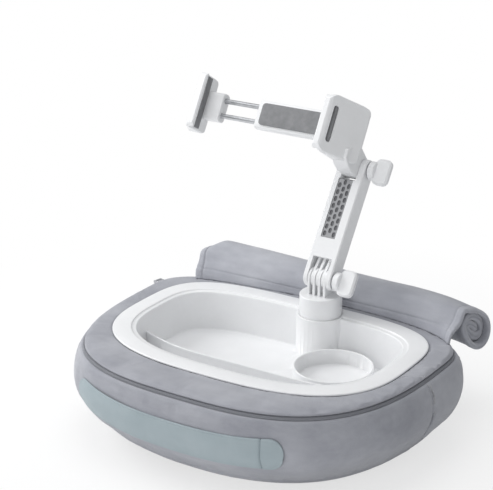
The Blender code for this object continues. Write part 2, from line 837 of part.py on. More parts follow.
def leaf_centres():
    """X of each hinge leaf from the hinge's middle: post leaves first, then the arm's."""
    count = 2 * POST_LEAVES - 1
    gap = (2 * LOWER_FORK_HALF_GAP - count * LEAF_THICKNESS) / (count + 1)
    pitch = LEAF_THICKNESS + gap
    middles = [pitch * (i - (count - 1) / 2) for i in range(count)]
    return middles[0::2], middles[1::2]


def lug_outline(radius, foot, half_foot, points=11):
    """A leaf's side: round over the axis, straight down to its foot."""
    made = arc((0, 0), radius, 0, 180, points)
    return made + [(-half_foot, foot), (half_foot, foot)]


def post():
    """The round post with its stack of hinge leaves, hollow from below."""
    axis = frame("post_axis", (POST_X, POST_Y, 0))
    column = prism(
        circle(POST_RADIUS, ROUND), POST_BOTTOM, POST_TOP, soft=0.0008
    )
    made = place("post", column, WHITE, 0.35, axis)
    for middle in leaf_centres()[0]:
        low, high = middle - LEAF_THICKNESS / 2, middle + LEAF_THICKNESS / 2
        outline = lug_outline(LEAF_RADIUS, POST_TOP - LOWER_AXIS_Z - 0.002, LEAF_RADIUS)
        outline = [(a, b + LOWER_AXIS_Z) for a, b in outline]
        combine(made, prism(outline, low, high, "X"), "UNION")
    hollow = tube(
        POST_RADIUS - POST_WALL,
        SCREW_HEAD_RADIUS + 0.0020,
        POST_BOTTOM - 0.005,
        POST_TOP - POST_WALL * 2,
        "Z",
        ROUND,
    )
    combine(made, hollow)
    pilot = SCREW_RADIUS + GAP
    combine(
        made, rod(pilot, POST_BOTTOM - 0.005, POST_BOTTOM + SCREW_LENGTH, "Z", TINY_ROUND)
    )
    bolt = rod(
        BOLT_RADIUS + BOLT_PLAY, -0.03, 0.03, "X", SMALL_ROUND, (0, LOWER_AXIS_Z)
    )
    combine(made, bolt)


def post_screw():
    """The screw and washer that keep the post in its socket, under the tray."""
    axis = frame("post_screw_axis", (POST_X, POST_Y, 0))
    washer_top = SOCKET_BOTTOM - GAP
    washer_bottom = washer_top - WASHER_THICKNESS
    head_top = washer_bottom - GAP
    head = prism(
        circle(SCREW_HEAD_RADIUS, SMALL_ROUND),
        head_top - SCREW_HEAD_HEIGHT,
        head_top,
        soft=0.0004,
    )
    screw = place("post_screw", head, STEEL, 0.3, axis, metallic=1.0)
    tip = POST_BOTTOM + SCREW_LENGTH - 0.001
    combine(screw, rod(SCREW_RADIUS, head_top - 0.001, tip, "Z", TINY_ROUND), "UNION")
    washer = tube(
        SCREW_HEAD_RADIUS + 0.0006,
        SCREW_RADIUS + GAP,
        washer_bottom,
        washer_top,
        "Z",
        SMALL_ROUND,
    )
    place("post_washer", washer, STEEL, 0.3, axis, metallic=1.0)


def arm_outline():
    """The arm's side: straight edges and a round end over each hinge."""
    lower = arc((0, 0), ARM_HALF_DEPTH, 180, 360, 13)
    upper = arc((0, ARM_LENGTH), ARM_HALF_DEPTH, 0, 180, 13)
    return lower + upper


def arm_frame(axis):
    """The arm's moulded channel: fork, leaves, bridge, insert seat and upper fork."""
    half = ARM_HALF_WIDTH
    made = place(
        "arm_frame", prism(arm_outline(), -half, half, "X", 0.0012), WHITE, 0.35, axis
    )
    deep = ARM_HALF_DEPTH + 0.01
    pocket = LOWER_FORK_HALF_GAP
    combine(made, box((-pocket, -deep, -deep), (pocket, deep, LOWER_POCKET)))
    gap = UPPER_FORK_HALF_GAP
    ramp = [
        (-deep, UPPER_POCKET_FRONT - NOD_RAMP),
        (-ARM_HALF_DEPTH, UPPER_POCKET_FRONT),
        (0.0, UPPER_POCKET_FLOOR),
        (deep, UPPER_POCKET_FLOOR),
        (deep, ARM_LENGTH + deep),
        (-deep, ARM_LENGTH + deep),
    ]
    combine(made, prism(ramp, -gap, gap, "X"))
    seat = INSERT_HALF_WIDTH + GAP
    front = -ARM_HALF_DEPTH
    depth = INSERT_SUNK + INSERT_THICKNESS + GAP
    combine(
        made,
        box(
            (INSERT_SHIFT - seat, front - 0.01, INSERT_START - GAP),
            (INSERT_SHIFT + seat, front + depth, UPPER_POCKET_FRONT + GAP),
        ),
    )
    back = BACK_CHANNEL_HALF_WIDTH
    channel = rounded_box_outline(
        (-back, BACK_CHANNEL_START), (back, BACK_CHANNEL_END), 0.004, 4
    )
    combine(
        made, prism(channel, ARM_HALF_DEPTH - BACK_CHANNEL_DEPTH, ARM_HALF_DEPTH + 0.01, "Y")
    )
    for middle in leaf_centres()[1]:
        low, high = middle - LEAF_THICKNESS / 2, middle + LEAF_THICKNESS / 2
        outline = arc((0, 0), ARM_LEAF_RADIUS, 150, 390, 15)
        top = LOWER_POCKET + 0.002
        outline += [(0.0085, top), (-0.0045, top)]
        combine(made, prism(outline, low, high, "X"), "UNION")
    bore = BOLT_RADIUS + BOLT_PLAY
    combine(made, rod(bore, -0.03, 0.03, "X", SMALL_ROUND))
    combine(made, rod(bore, -0.03, 0.03, "X", SMALL_ROUND, (0, ARM_LENGTH)))


def arm_insert(axis):
    """The dark textured strip let into the arm's front."""
    top = UPPER_POCKET_FRONT - GAP
    front = -ARM_HALF_DEPTH + INSERT_SUNK
    left, right = INSERT_SHIFT - INSERT_HALF_WIDTH, INSERT_SHIFT + INSERT_HALF_WIDTH
    strip = box((left, front, INSERT_START), (right, front + INSERT_THICKNESS, top))
    place("arm_insert", strip, RUBBER, 0.6, axis)


def hinge_hardware(prefix, axis):
    """One hinge's bolt, washer, wing knob and the nut in the knob."""
    fork = ARM_HALF_WIDTH
    head_start = -fork - GAP - BOLT_HEAD_THICKNESS
    head = prism(
        circle(BOLT_HEAD_RADIUS, SMALL_ROUND),
        head_start,
        head_start + BOLT_HEAD_THICKNESS,
        "X",
        0.0007,
    )
    bolt = place(f"{prefix}_bolt", head, STEEL, 0.3, axis, metallic=1.0)
    shank = rod(BOLT_RADIUS, head_start + 0.001, fork + BOLT_REACH, "X")
    combine(bolt, shank, "UNION")
    bore = BOLT_RADIUS + GAP
    washer_start = fork + GAP
    washer = tube(
        KNOB_WASHER_RADIUS, bore, washer_start, washer_start + KNOB_WASHER, "X"
    )
    place(f"{prefix}_washer", washer, STEEL, 0.3, axis, metallic=1.0)

    start = washer_start + KNOB_WASHER + GAP
    collar = prism(
        circle(COLLAR_RADIUS, SMALL_ROUND), start, start + COLLAR_LENGTH, "X", 0.0009
    )
    knob = place(f"{prefix}_wing_knob", collar, WHITE, 0.35, axis)
    wing_left = start + WING_START
    outline = rounded_box_outline(
        (wing_left, -WING_HALF_SPAN), (wing_left + WING_WIDTH, WING_HALF_SPAN), WING_CORNER
    )
    half = WING_THICKNESS / 2
    combine(knob, prism(outline, -half, half, "Y", 0.0018), "UNION")
    reach = fork + BOLT_REACH + GAP
    combine(knob, rod(bore, start - 0.005, reach, "X", SMALL_ROUND))
    pocket = NUT_LENGTH + 2 * GAP
    combine(knob, rod(NUT_RADIUS + GAP, start - 0.005, start + pocket, "X", 6))
    nut_start = start + GAP
    nut_outer = hexagon(NUT_RADIUS, 3)
    nut_inner = circle(bore, 18)
    rings = [
        [(along, a, b) for a, b in ring]
        for ring, along in (
            (nut_outer, nut_start),
            (nut_outer, nut_start + NUT_LENGTH),
            (nut_inner, nut_start + NUT_LENGTH),
            (nut_inner, nut_start),
        )
    ]
    nut = loft(rings, closed=True)
    place(f"{prefix}_knob_nut", nut, (0.70, 0.55, 0.30), 0.35, axis, metallic=1.0)


def jaw_side(depth_y):
    """X of the jaw's outer side at a depth behind the tablet's face."""
    return JAW_EDGE + JAW_FLARE * (depth_y + JAW_FRONT)


def jaw_profile(depth, side):
    """The jaw seen from above: lip, flared outer side and back; side is -1 or 1."""
    pad = JAW_PAD + GAP
    outer = jaw_side(depth - 0.006)
    front = -JAW_FRONT
    outline = [
        (-LIP_REACH, front + LIP_THICKNESS),
        (-LIP_REACH, front + 0.0015),
        (-LIP_REACH + 0.0015, front),
        (JAW_EDGE - 0.0020, front),
        (JAW_EDGE - 0.0004, front + 0.0010),
        (jaw_side(front + 0.0030), front + 0.0030),
        (outer, depth - 0.006),
        (outer - 0.0004, depth - 0.002),
        (outer - 0.0035, depth),
        (pad, depth),
        (pad, front + LIP_THICKNESS),
    ]
    return [(x * side, y) for x, y in outline]


def slot_form(side):
    """The rounded slot through a jaw's side."""
    half = SLOT_LENGTH / 2
    outline = rounded_box_outline(
        (SLOT_FRONT, -half), (SLOT_FRONT + SLOT_WIDTH, half), SLOT_WIDTH / 2 - 0.0001, 5
    )
    reach = sorted((side * -0.002, side * 0.03))
    return prism(outline, reach[0], reach[1], "X")


def shifted(mesh, x):
    bmesh.ops.translate(mesh, verts=mesh.verts, vec=(x, 0, 0))
    return mesh


def jaw_block(name, parent, depth, side, shift, corner, back_corner):
    """A jaw's shell before its neck or foot is joined on."""
    half = JAW_HALF_HEIGHT
    outline = jaw_profile(depth, side)
    block = shifted(prism(outline, -half, half, "Z", JAW_SOFT), shift)
    shell = place(name, block, WHITE, 0.35, parent)
    front, back = -JAW_FRONT - 0.001 + corner, depth + 0.001 - back_corner
    high, back_high = half - corner, half - back_corner
    face = arc((back, back_high), back_corner, 0, 90, 7)
    face += arc((front, high), corner, 90, 180, 7)
    face += arc((front, -high), corner, 180, 270, 7)
    face += arc((back, -back_high), back_corner, 270, 360, 7)
    keep = prism(face, -0.05, 0.05, "X")
    combine(shell, shifted(keep, shift), "INTERSECT")
    return shell


def jaw_lining(name, parent, side, shift):
    """The rubber lining inside a jaw: behind the lip and down its face."""
    front = -JAW_FRONT + LIP_THICKNESS + GAP
    outline = [
        (-LIP_REACH + 0.0006, front),
        (JAW_PAD, front),
        (JAW_PAD, GRIP_DEPTH),
        (0.0, GRIP_DEPTH),
        (0.0, front + JAW_PAD),
        (-LIP_REACH + 0.0006, front + JAW_PAD),
    ]
    half = JAW_HALF_HEIGHT - JAW_WALL
    strip = prism([(x * side, y) for x, y in outline], -half, half, "Z")
    lining = place(name, shifted(strip, shift), RUBBER, 0.8, parent)
    combine(lining, shifted(slot_form(side), shift))


def fixed_jaw(parent):
    """The deep fixed jaw with the hinge's neck, its inner cover and lining."""
    shell = jaw_block(
        "fixed_jaw_shell", parent, JAW_DEPTH, 1, 0.0, JAW_CORNER, JAW_BACK_CORNER
    )
    hinge = (HEAD_REACH, -HEAD_RISE)
    neck = arc(hinge, LOBE_RADIUS, -100, 65, 14)
    neck += [
        (JAW_DEPTH - 0.002, -0.006),
        (JAW_DEPTH - 0.024, -0.020),
        (JAW_DEPTH - 0.024, -JAW_HALF_HEIGHT + 0.003),
        (JAW_DEPTH - 0.014, -JAW_HALF_HEIGHT - 0.0035),
        (JAW_DEPTH - 0.002, -JAW_HALF_HEIGHT - 0.0080),
    ]
    half = UPPER_FORK_HALF_GAP - GAP
    combine(
        shell, prism(neck, HEAD_SIDE - half, HEAD_SIDE + half, "X", 0.0008), "UNION"
    )
    combine(shell, slot_form(1))
    hollow_front = SLOT_FRONT + SLOT_WIDTH + 0.0045
    hollow_back = JAW_DEPTH - JAW_WALL - 0.0010
    turn = JAW_DEPTH - 0.008
    hollow = [
        (-0.01, hollow_front),
        (jaw_side(hollow_front) - JAW_WALL, hollow_front),
        (jaw_side(turn) - JAW_WALL, turn),
        (jaw_side(turn) - JAW_WALL - 0.004, hollow_back),
        (-0.01, hollow_back),
    ]
    inside = JAW_HALF_HEIGHT - JAW_WALL - 0.0055
    combine(shell, prism(hollow, -inside + 0.010, inside, "Z"))
    bolt = BOLT_RADIUS + BOLT_PLAY
    combine(shell, rod(bolt, -0.01, 0.05, "X", SMALL_ROUND, hinge))

    start = JAW_PAD + 2 * GAP
    plate = box(
        (start, hollow_front + GAP, -inside + 0.010 + GAP),
        (start + COVER_PLATE, hollow_back - GAP, inside - GAP),
    )
    cover = place("fixed_jaw_cover", plate, RUBBER, 0.5, parent)
    for depth in rail_screw_depths():
        hole = rod(
            RAIL_SCREW_RADIUS + GAP, -0.01, 0.02, "X", TINY_ROUND, (depth, 0)
        )
        combine(cover, hole)
    jaw_lining("fixed_jaw_lining", parent, 1, 0.0)


def rail_screw_depths():
    middle = (RAIL_FRONT + RAIL_BACK) / 2
    return middle - 0.0040, middle + 0.0040


def rail(parent):
    """The housing that the rods slide in, its pad, screws and springs."""
    end = JAW_PAD
    middle = (RAIL_FRONT + RAIL_BACK) / 2
    half = RAIL_HALF_HEIGHT
    outline = rounded_box_outline((RAIL_FRONT, -half), (RAIL_BACK, half), 0.0050, 4)
    body = prism(outline, -RAIL_LENGTH, end, "X", 0.0008)
    housing = place("rail_housing", body, WHITE, 0.35, parent)
    for side in (-1, 1):
        centre = (middle, side * ROD_SPREAD)
        inner_wall = -RAIL_LENGTH + RAIL_END_WALL
        bore = ROD_RADIUS + GAP
        combine(
            housing, rod(bore, -RAIL_LENGTH - 0.01, -0.02, "X", TINY_ROUND, centre)
        )
        combine(
            housing, rod(SPRING_BORE, inner_wall, end + 0.01, "X", SMALL_ROUND, centre)
        )
    for depth in rail_screw_depths():
        hole = rod(RAIL_SCREW_RADIUS + GAP, -0.012, end + 0.01, "X", TINY_ROUND, (depth, 0))
        combine(housing, hole)

    pad_half = BACK_PAD_HALF_HEIGHT
    pad_outline = rounded_box_outline(
        (-RAIL_LENGTH + 0.006, -pad_half), (-0.006, pad_half), 0.004, 4
    )
    pad_back = RAIL_FRONT - GAP
    pad = prism(pad_outline, pad_back - BACK_PAD, pad_back, "Y", 0.0005)
    place("back_pad", pad, RUBBER, 0.8, parent)

    plate_out = JAW_PAD + 2 * GAP + COVER_PLATE + GAP
    for end_name, depth in zip(("front", "back"), rail_screw_depths()):
        profile = (
            (RAIL_SCREW_RADIUS, -0.011),
            (RAIL_SCREW_RADIUS, plate_out),
            (RAIL_SCREW_HEAD, plate_out),
            (RAIL_SCREW_HEAD, plate_out + 0.0014),
        )
        rings = [
            [(along, depth + a, b) for a, b in circle(radius, TINY_ROUND)]
            for radius, along in profile
        ]
        name = f"rail_screw_{end_name}"
        place(name, loft(rings), STEEL, 0.3, parent, metallic=1.0)
    for end_name, side in (("lower", -1), ("upper", 1)):
        coil = spring(middle, side * ROD_SPREAD)
        place(f"clamp_spring_{end_name}", coil, STEEL, 0.3, parent, metallic=1.0)


def spring(middle, height):
    """A coil spring round a rod, between the end wall and the rod's stop."""
    low = -RAIL_LENGTH + RAIL_END_WALL + GAP + SPRING_WIRE
    high = -RAIL_LENGTH + ROD_INSIDE - STOP_LENGTH - GAP - SPRING_WIRE
    radius = (ROD_RADIUS + SPRING_BORE) / 2
    steps = 9 * SPRING_TURNS
    rings = []
    for i in range(steps + 1):
        turn = 2 * math.pi * i / 9
        out = Vector((0, math.cos(turn), math.sin(turn)))
        here = Vector((low + (high - low) * i / steps, middle, height)) + out * radius
        ring = []
        for corner in range(4):
            angle = math.pi / 2 * corner
            across = out * math.cos(angle) + Vector((math.sin(angle), 0, 0))
            ring.append(here + across * SPRING_WIRE)
        rings.append(ring)
    return loft(rings)


def sliding_jaw(parent):
    """The sliding jaw with its foot, lining, rods and their stops."""
    shift = -OPENING
    shell = jaw_block(
        "sliding_jaw_shell", parent, SMALL_JAW_DEPTH, -1, shift, 0.0085, 0.0085
    )
    middle = (RAIL_FRONT + RAIL_BACK) / 2
    half = RAIL_HALF_HEIGHT
    foot = rounded_box_outline((RAIL_FRONT, -half), (RAIL_BACK, half), 0.0050, 4)
    combine(
        shell, prism(foot, shift - 0.006, shift + FOOT_LENGTH, "X", 0.0008), "UNION"
    )
    combine(shell, shifted(slot_form(-1), shift))
    bore = ROD_RADIUS + GAP
    rod_end = shift + FOOT_LENGTH - ROD_IN_JAW
    inside_end = -RAIL_LENGTH + ROD_INSIDE
    for end_name, side in (("lower", -1), ("upper", 1)):
        centre = (middle, side * ROD_SPREAD)
        hole_end = shift + FOOT_LENGTH + 0.01
        hole = rod(bore, rod_end - GAP, hole_end, "X", TINY_ROUND, centre)
        combine(shell, hole)
        bar = rod(ROD_RADIUS, rod_end, inside_end, "X", TINY_ROUND, centre)
        place(f"guide_rod_{end_name}", bar, STEEL, 0.25, parent, metallic=1.0)
        collar = tube(
            SPRING_BORE - 0.0006,
            ROD_RADIUS + GAP,
            inside_end - STOP_LENGTH,
            inside_end,
            "X",
            TINY_ROUND,
            centre,
        )
        place(f"rod_stop_{end_name}", collar, STEEL, 0.3, parent, metallic=1.0)
    jaw_lining("sliding_jaw_lining", parent, -1, shift)


def build():
    cushion_body()
    base_panel()
    zip_track()
    zip_slider_and_pull()
    carry_strap()
    cover_roll()
    tray()
    post_socket()
    post()
    post_screw()
    arm_axis = frame("arm_axis", (POST_X, POST_Y, LOWER_AXIS_Z), ARM_LEAN_DEG)
    arm_frame(arm_axis)
    arm_insert(arm_axis)
    hinge_hardware("lower", arm_axis)
    lean = math.radians(ARM_LEAN_DEG)
    upper = (
        POST_X,
        POST_Y + ARM_LENGTH * math.sin(lean),
        LOWER_AXIS_Z + ARM_LENGTH * math.cos(lean),
    )
    knob_axis = frame("upper_knob_axis", upper, ARM_LEAN_DEG)
    hinge_hardware("upper", knob_axis)
    head_axis = frame("head_axis", upper, HEAD_TILT_DEG)
    jaws = frame("jaw_frame", (-HEAD_SIDE, -HEAD_REACH, HEAD_RISE), parent=head_axis)
    fixed_jaw(jaws)
    rail(jaws)
    sliding_jaw(jaws)


build()
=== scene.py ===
# %% [markdown]
# A lap cushion with a lift-out tray and a folding arm that clamps a tablet.
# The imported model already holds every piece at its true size, on real hinges and slides.
# This notebook dresses it: plush fabric with seams, a rolled cover, moulded white plastic,
# rubber, steel and brass. Everything is in metres, +Z up, with the user at -Y.

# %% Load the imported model
import math

import bmesh
import bpy
import numpy as np
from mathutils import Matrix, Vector, noise


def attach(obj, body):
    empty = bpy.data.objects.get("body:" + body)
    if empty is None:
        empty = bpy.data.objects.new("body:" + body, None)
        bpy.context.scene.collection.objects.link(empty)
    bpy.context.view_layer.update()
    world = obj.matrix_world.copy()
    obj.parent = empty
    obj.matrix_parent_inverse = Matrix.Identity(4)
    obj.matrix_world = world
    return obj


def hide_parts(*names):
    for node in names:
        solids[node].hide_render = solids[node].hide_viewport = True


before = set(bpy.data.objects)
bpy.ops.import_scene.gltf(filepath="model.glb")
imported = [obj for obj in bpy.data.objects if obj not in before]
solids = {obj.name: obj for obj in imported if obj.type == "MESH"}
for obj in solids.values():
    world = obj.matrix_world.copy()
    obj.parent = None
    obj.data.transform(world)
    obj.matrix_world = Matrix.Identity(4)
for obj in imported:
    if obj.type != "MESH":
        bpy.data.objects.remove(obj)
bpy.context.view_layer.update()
scene = bpy.context.scene

# %% [markdown]
# The photograph was taken with a long lens from the front right and slightly above.
# A long lens keeps the two ends of the cushion almost the same size, so the camera
# stands 1.8 m away. Its angles came from fitting the tray's rim and the zip line.

# %% Camera
LENS_MM = 116.84
CAMERA_AT = (0.8581, -1.3681, 0.8136)
CAMERA_TURN_DEG = (69.5, 0.0, 32.9)

eye = bpy.data.objects.new("eye", bpy.data.cameras.new("eye"))
eye.data.lens = LENS_MM
eye.location = CAMERA_AT
eye.rotation_euler = [math.radians(a) for a in CAMERA_TURN_DEG]
scene.collection.objects.link(eye)
scene.camera = eye
scene.view_settings.view_transform = "Standard"
print("camera distance:", round(eye.location.length, 3), "m")

# %% [markdown]
# A material is a small network of nodes, and wiring it by hand makes long code.
# The Wire class below wraps one socket, so that sums on it read like sums on numbers:
# each operator adds the Math node that it stands for. Finish owns one material and has
# one method, node, which adds any other node from its type, settings and inputs.


# %% A socket that can be used in sums
class Wire:
    """One output socket of a finish."""

    def __init__(self, finish, socket):
        self.finish = finish
        self.socket = socket

    def __add__(self, other):
        return self.finish.node("Math", {"operation": "ADD"}, [self, other])

    def __mul__(self, other):
        return self.finish.node("Math", {"operation": "MULTIPLY"}, [self, other])


print("wires can be added and multiplied")


# %% A finish: one material and its nodes
class Finish:
    """A material being made. Even values are set on the shader's own sockets."""

    def __init__(self, name, **even):
        self.material = bpy.data.materials.new(name)
        self.material.use_nodes = True
        self.tree = self.material.node_tree
        self.shader = self.tree.nodes["Principled BSDF"]
        for socket, value in even.items():
            self.shader.inputs[socket.replace("_", " ").title()].default_value = value
        self.place = self.node("TexCoord", {}, [], "Object")

    def node(self, kind, settings, values, output=0):
        """Adds a node and gives back one of its outputs as a wire."""
        made = self.tree.nodes.new("ShaderNode" + kind)
        for name, value in settings.items():
            setattr(made, name, value)
        for socket, value in values.items() if isinstance(values, dict) else enumerate(values):
            if isinstance(value, Wire):
                self.tree.links.new(value.socket, made.inputs[socket])
            else:
                made.inputs[socket].default_value = value
        return Wire(self, made.outputs[output])

    def feed(self, name, wire):
        """Joins a wire to one of the shader's sockets."""
        self.tree.links.new(wire.socket, self.shader.inputs[name])

    def grain(self, size, detail=2.0, stretch=(1, 1, 1), roughness=0.5):
        """Noise whose blotches are about size metres across, from 0 to 1."""
        place = self.place
        if stretch != (1, 1, 1):
            place = self.node("Mapping", {}, {"Vector": place, "Scale": stretch}, "Vector")
        values = {"Vector": place, "Scale": 1 / size, "Detail": detail, "Roughness": roughness}
        return self.node("TexNoise", {}, values, "Fac")

    def spread(self, wire, low, high, to_low=0.0, to_high=1.0):
        """Stretches the part of a wire between low and high over another range."""
        return self.node("MapRange", {}, [wire, low, high, to_low, to_high], "Result")

    def shade(self, wire, low, high, dark, light):
        """Colours the surface from dark to light as the wire goes from low to high."""
        values = {0: self.spread(wire, low, high), 6: (*dark, 1), 7: (*light, 1)}
        self.feed("Base Color", self.node("Mix", {"data_type": "RGBA"}, values, 2))

    def dull(self, wire, low, high, smooth, rough):
        """Takes the roughness from smooth to rough as the wire goes from low to high."""
        self.feed("Roughness", self.spread(wire, low, high, smooth, rough))

    def relief(self, wire, depth):
        """Raises the surface by depth metres where the wire is 1."""
        values = {"Strength": 1.0, "Distance": depth, "Height": wire}
        self.feed("Normal", self.node("Bump", {}, values, "Normal"))


print("finish tools ready")

# %% [markdown]
# The cushion is short-pile plush. Plush has no visible weave: what the eye sees is pile
# that leans this way and that, so broad soft patches look lighter or darker. Three sizes
# of noise give that: broad clouds, brushed streaks and the pile itself. Sheen adds the
# pale edge that pile shows where it is seen along its tips.


# %% Plush and woven fabrics
PILE_SIZE = 0.0007
PILE_DEPTH = 0.00035
WAVE_TURN = 6.28  # the wave texture counts its bands in radians


def plush(name, dark, light):
    """Short-pile fabric between a dark and a light lie of the nap."""
    made = Finish(name, roughness=0.92, sheen_weight=0.35, sheen_roughness=0.45)
    clouds = made.grain(0.060, 3.0, roughness=0.45)
    brushed = made.grain(0.011, 3.0, stretch=(0.45, 1.0, 1.6))
    fibres = made.grain(PILE_SIZE)
    made.shade(clouds * 0.55 + brushed * 0.25 + fibres * 0.20, 0.36, 0.64, dark, light)
    made.dull(brushed, 0.2, 0.8, 0.84, 0.98)
    made.relief(fibres * 0.75 + brushed * 0.5, PILE_DEPTH)
    return made.material


def ribbed_cloth(name, dark, light, pitch, depth):
    """Close-woven cloth: two sets of fine ribs that cross, and slight fading."""
    made = Finish(name, roughness=0.7, sheen_weight=0.12)
    ribs = []
    for turn in ((0, 0, 0), (0, math.pi / 2, 0)):
        turned = made.node("Mapping", {}, {"Vector": made.place, "Rotation": turn}, "Vector")
        settings = {"wave_type": "BANDS", "bands_direction": "X"}
        values = {"Vector": turned, "Scale": 1 / (pitch * WAVE_TURN), "Distortion": 0.4}
        ribs.append(made.node("TexWave", settings, values, "Fac"))
    weave = ribs[0] * 0.5 + ribs[1] * 0.5
    made.shade(made.grain(0.025, 3.0) * 0.6 + weave * 0.4, 0.3, 0.7, dark, light)
    made.relief(weave, depth)
    return made.material


cushion_plush = plush("cushion_plush", (0.290, 0.297, 0.335), (0.410, 0.418, 0.455))
cover_plush = plush("cover_plush", (0.335, 0.343, 0.385), (0.480, 0.490, 0.530))
base_cloth = ribbed_cloth("base_cloth", (0.120, 0.125, 0.145), (0.185, 0.190, 0.215), 0.0009, 0.0002)
strap_cloth = ribbed_cloth("strap_cloth", (0.310, 0.372, 0.400), (0.380, 0.442, 0.470), 0.0005, 0.00008)
zip_cloth = ribbed_cloth("zip_cloth", (0.200, 0.206, 0.230), (0.255, 0.262, 0.290), 0.0004, 0.00008)
print("fabrics:", [m.name for m in (cushion_plush, cover_plush, base_cloth, strap_cloth, zip_cloth)])

# %% [markdown]
# The rigid pieces are injection-moulded plastic, rubber and small metal parts. Moulded
# plastic is never quite flat: a very fine orange-peel relief breaks up its reflections,
# and handling leaves it slightly duller in places. Metal gets fine drawn scratches.


# %% Plastic, rubber and metal
def moulded(name, tint, rough, peel=0.00003, coat=0.0):
    """Moulded plastic with a faint orange peel and uneven gloss."""
    made = Finish(name, roughness=rough, coat_weight=coat, coat_roughness=0.25)
    clouds = made.grain(0.030, 3.0)
    handled = made.grain(0.004, 4.0)
    made.shade(clouds * 0.7 + handled * 0.3, 0.35, 0.65, [c * 0.965 for c in tint], tint)
    made.dull(handled, 0.3, 0.7, rough * 0.9, rough * 1.2)
    made.relief(made.grain(0.0006, 1.0) * 0.6 + clouds * 0.4, peel)
    return made.material


def rubber(name, dark, light):
    """Matt rubber with a fine grit and a dusty bloom."""
    made = Finish(name, roughness=0.8)
    bloom = made.grain(0.008, 4.0)
    gritty = made.grain(0.0005)
    made.shade(bloom * 0.7 + gritty * 0.3, 0.35, 0.65, dark, light)
    made.dull(bloom, 0.3, 0.7, 0.68, 0.9)
    made.relief(gritty, 0.0001)
    return made.material


def metal(name, tint, rough):
    """Turned or drawn metal with fine scratches."""
    made = Finish(name, metallic=1.0, roughness=rough)
    drawn = made.grain(0.0007, 3.0, stretch=(0.08, 1.0, 1.0))
    made.shade(made.grain(0.005, 3.0), 0.3, 0.7, [c * 0.8 for c in tint], tint)
    made.dull(drawn, 0.2, 0.8, rough * 0.7, rough * 1.5)
    made.relief(drawn, 0.00003)
    return made.material


white_plastic = moulded("white_plastic", (0.880, 0.885, 0.895), 0.34, coat=0.15)
grey_insert = moulded("grey_insert", (0.350, 0.353, 0.365), 0.50, 0.00005)
# A darker copy of the insert plastic: painted shade, for the pocket floors and for the fixed jaw's
# inner plate.
painted_shade_plastic = moulded("painted_shade_plastic", (0.130, 0.132, 0.140), 0.60, 0.00005)
grip_rubber = rubber("grip_rubber", (0.190, 0.192, 0.200), (0.270, 0.273, 0.282))
steel = metal("steel", (0.620, 0.630, 0.650), 0.30)
zip_metal = moulded("zip_metal", (0.400, 0.407, 0.430), 0.32, coat=0.4)
brass = metal("brass", (0.700, 0.540, 0.300), 0.32)
print("rigid finishes:", [m.name for m in (white_plastic, grip_rubber, steel, brass)])

# %% [markdown]
# The light is a pale studio: a broad lamp on the left, a soft one above and a weak one
# from the front. The floor is white card. Seen straight by the camera it fades to pure
# white away from the object, but it keeps the soft shadow underneath.

# %% World, lamps and floor
AMBIENT = 0.42
LAMPS_AIM_AT = Vector((0, 0.03, 0.08))
FADE_RADII = (0.20, 0.60)  # the card turns to pure white between these distances
FADE_SHARES = (0.68, 1.0)


def light_world():
    """White to the camera, and dimmer as the light on the object."""
    world = bpy.data.worlds.new("studio")
    world.use_nodes = True
    scene.world = world
    tree = world.node_tree
    dim = tree.nodes["Background"]
    dim.inputs["Color"].default_value = (0.97, 0.985, 1.0, 1)
    dim.inputs["Strength"].default_value = AMBIENT
    bright = tree.nodes.new("ShaderNodeBackground")
    bright.inputs["Color"].default_value = (1, 1, 1, 1)
    mix = tree.nodes.new("ShaderNodeMixShader")
    path = tree.nodes.new("ShaderNodeLightPath")
    sources = (path.outputs["Is Camera Ray"], dim.outputs[0], bright.outputs[0])
    for source, socket in zip(sources, mix.inputs):
        tree.links.new(source, socket)
    tree.links.new(mix.outputs[0], tree.nodes["World Output"].inputs["Surface"])


def lamp(name, at, size, watts):
    """A square soft lamp aimed at the object."""
    data = bpy.data.lights.new(name, "AREA")
    data.size = size
    data.energy = watts
    made = bpy.data.objects.new(name, data)
    made.location = at
    made.rotation_euler = (LAMPS_AIM_AT - Vector(at)).to_track_quat("-Z", "Y").to_euler()
    scene.collection.objects.link(made)


def floor_card():
    """A white card that shows the shadow near the object and fades to white."""
    bpy.ops.mesh.primitive_plane_add(size=30, location=(0, 0, -0.0004))
    card = bpy.context.object
    card.name = "floor_card"
    made = Finish("floor_card", roughness=0.9)
    made.shader.inputs["Base Color"].default_value = (0.93, 0.93, 0.93, 1)
    made.shader.inputs["Specular IOR Level"].default_value = 0.1
    away = made.node("VectorMath", {"operation": "LENGTH"}, [made.place], "Value")
    seen = made.node("LightPath", {}, [], "Is Camera Ray")
    share = made.spread(away, *FADE_RADII, *FADE_SHARES) * seen
    shown = Wire(made, made.shader.outputs[0])
    mix = made.node("MixShader", {}, [share, shown, made.node("Emission", {}, [])])
    made.tree.links.new(mix.socket, made.tree.nodes["Material Output"].inputs["Surface"])
    card.data.materials.append(made.material)


light_world()
lamp("left_lamp", (-1.25, -0.25, 0.95), 0.8, 12.5)
lamp("top_lamp", (-0.25, 0.20, 1.7), 1.2, 9.0)
lamp("front_lamp", (0.10, -1.9, 0.45), 1.0, 9.0)
floor_card()

# %% [markdown]
# Everything on the cushion follows one D-shaped outline: a superellipse, squarer than an
# ellipse, that is deep towards the user and shallow behind. Points that are evenly spaced
# in angle bunch up at its corners, so the turns below are chosen by length along the zip.

# %% The D-shaped outlines
ZIP_HALF_WIDTH = 0.195
ZIP_FRONT = 0.212
ZIP_BACK = 0.080
ZIP_WIDEST_Y = 0.040
ZIP_POWERS = (2.9, 3.3, 3.0)  # in front, behind on the left, behind on the right
RIM_HALF_WIDTH = 0.173
RIM_FRONT = 0.125
RIM_BACK = 0.106
RIM_POWERS = (2.75, 3.8)


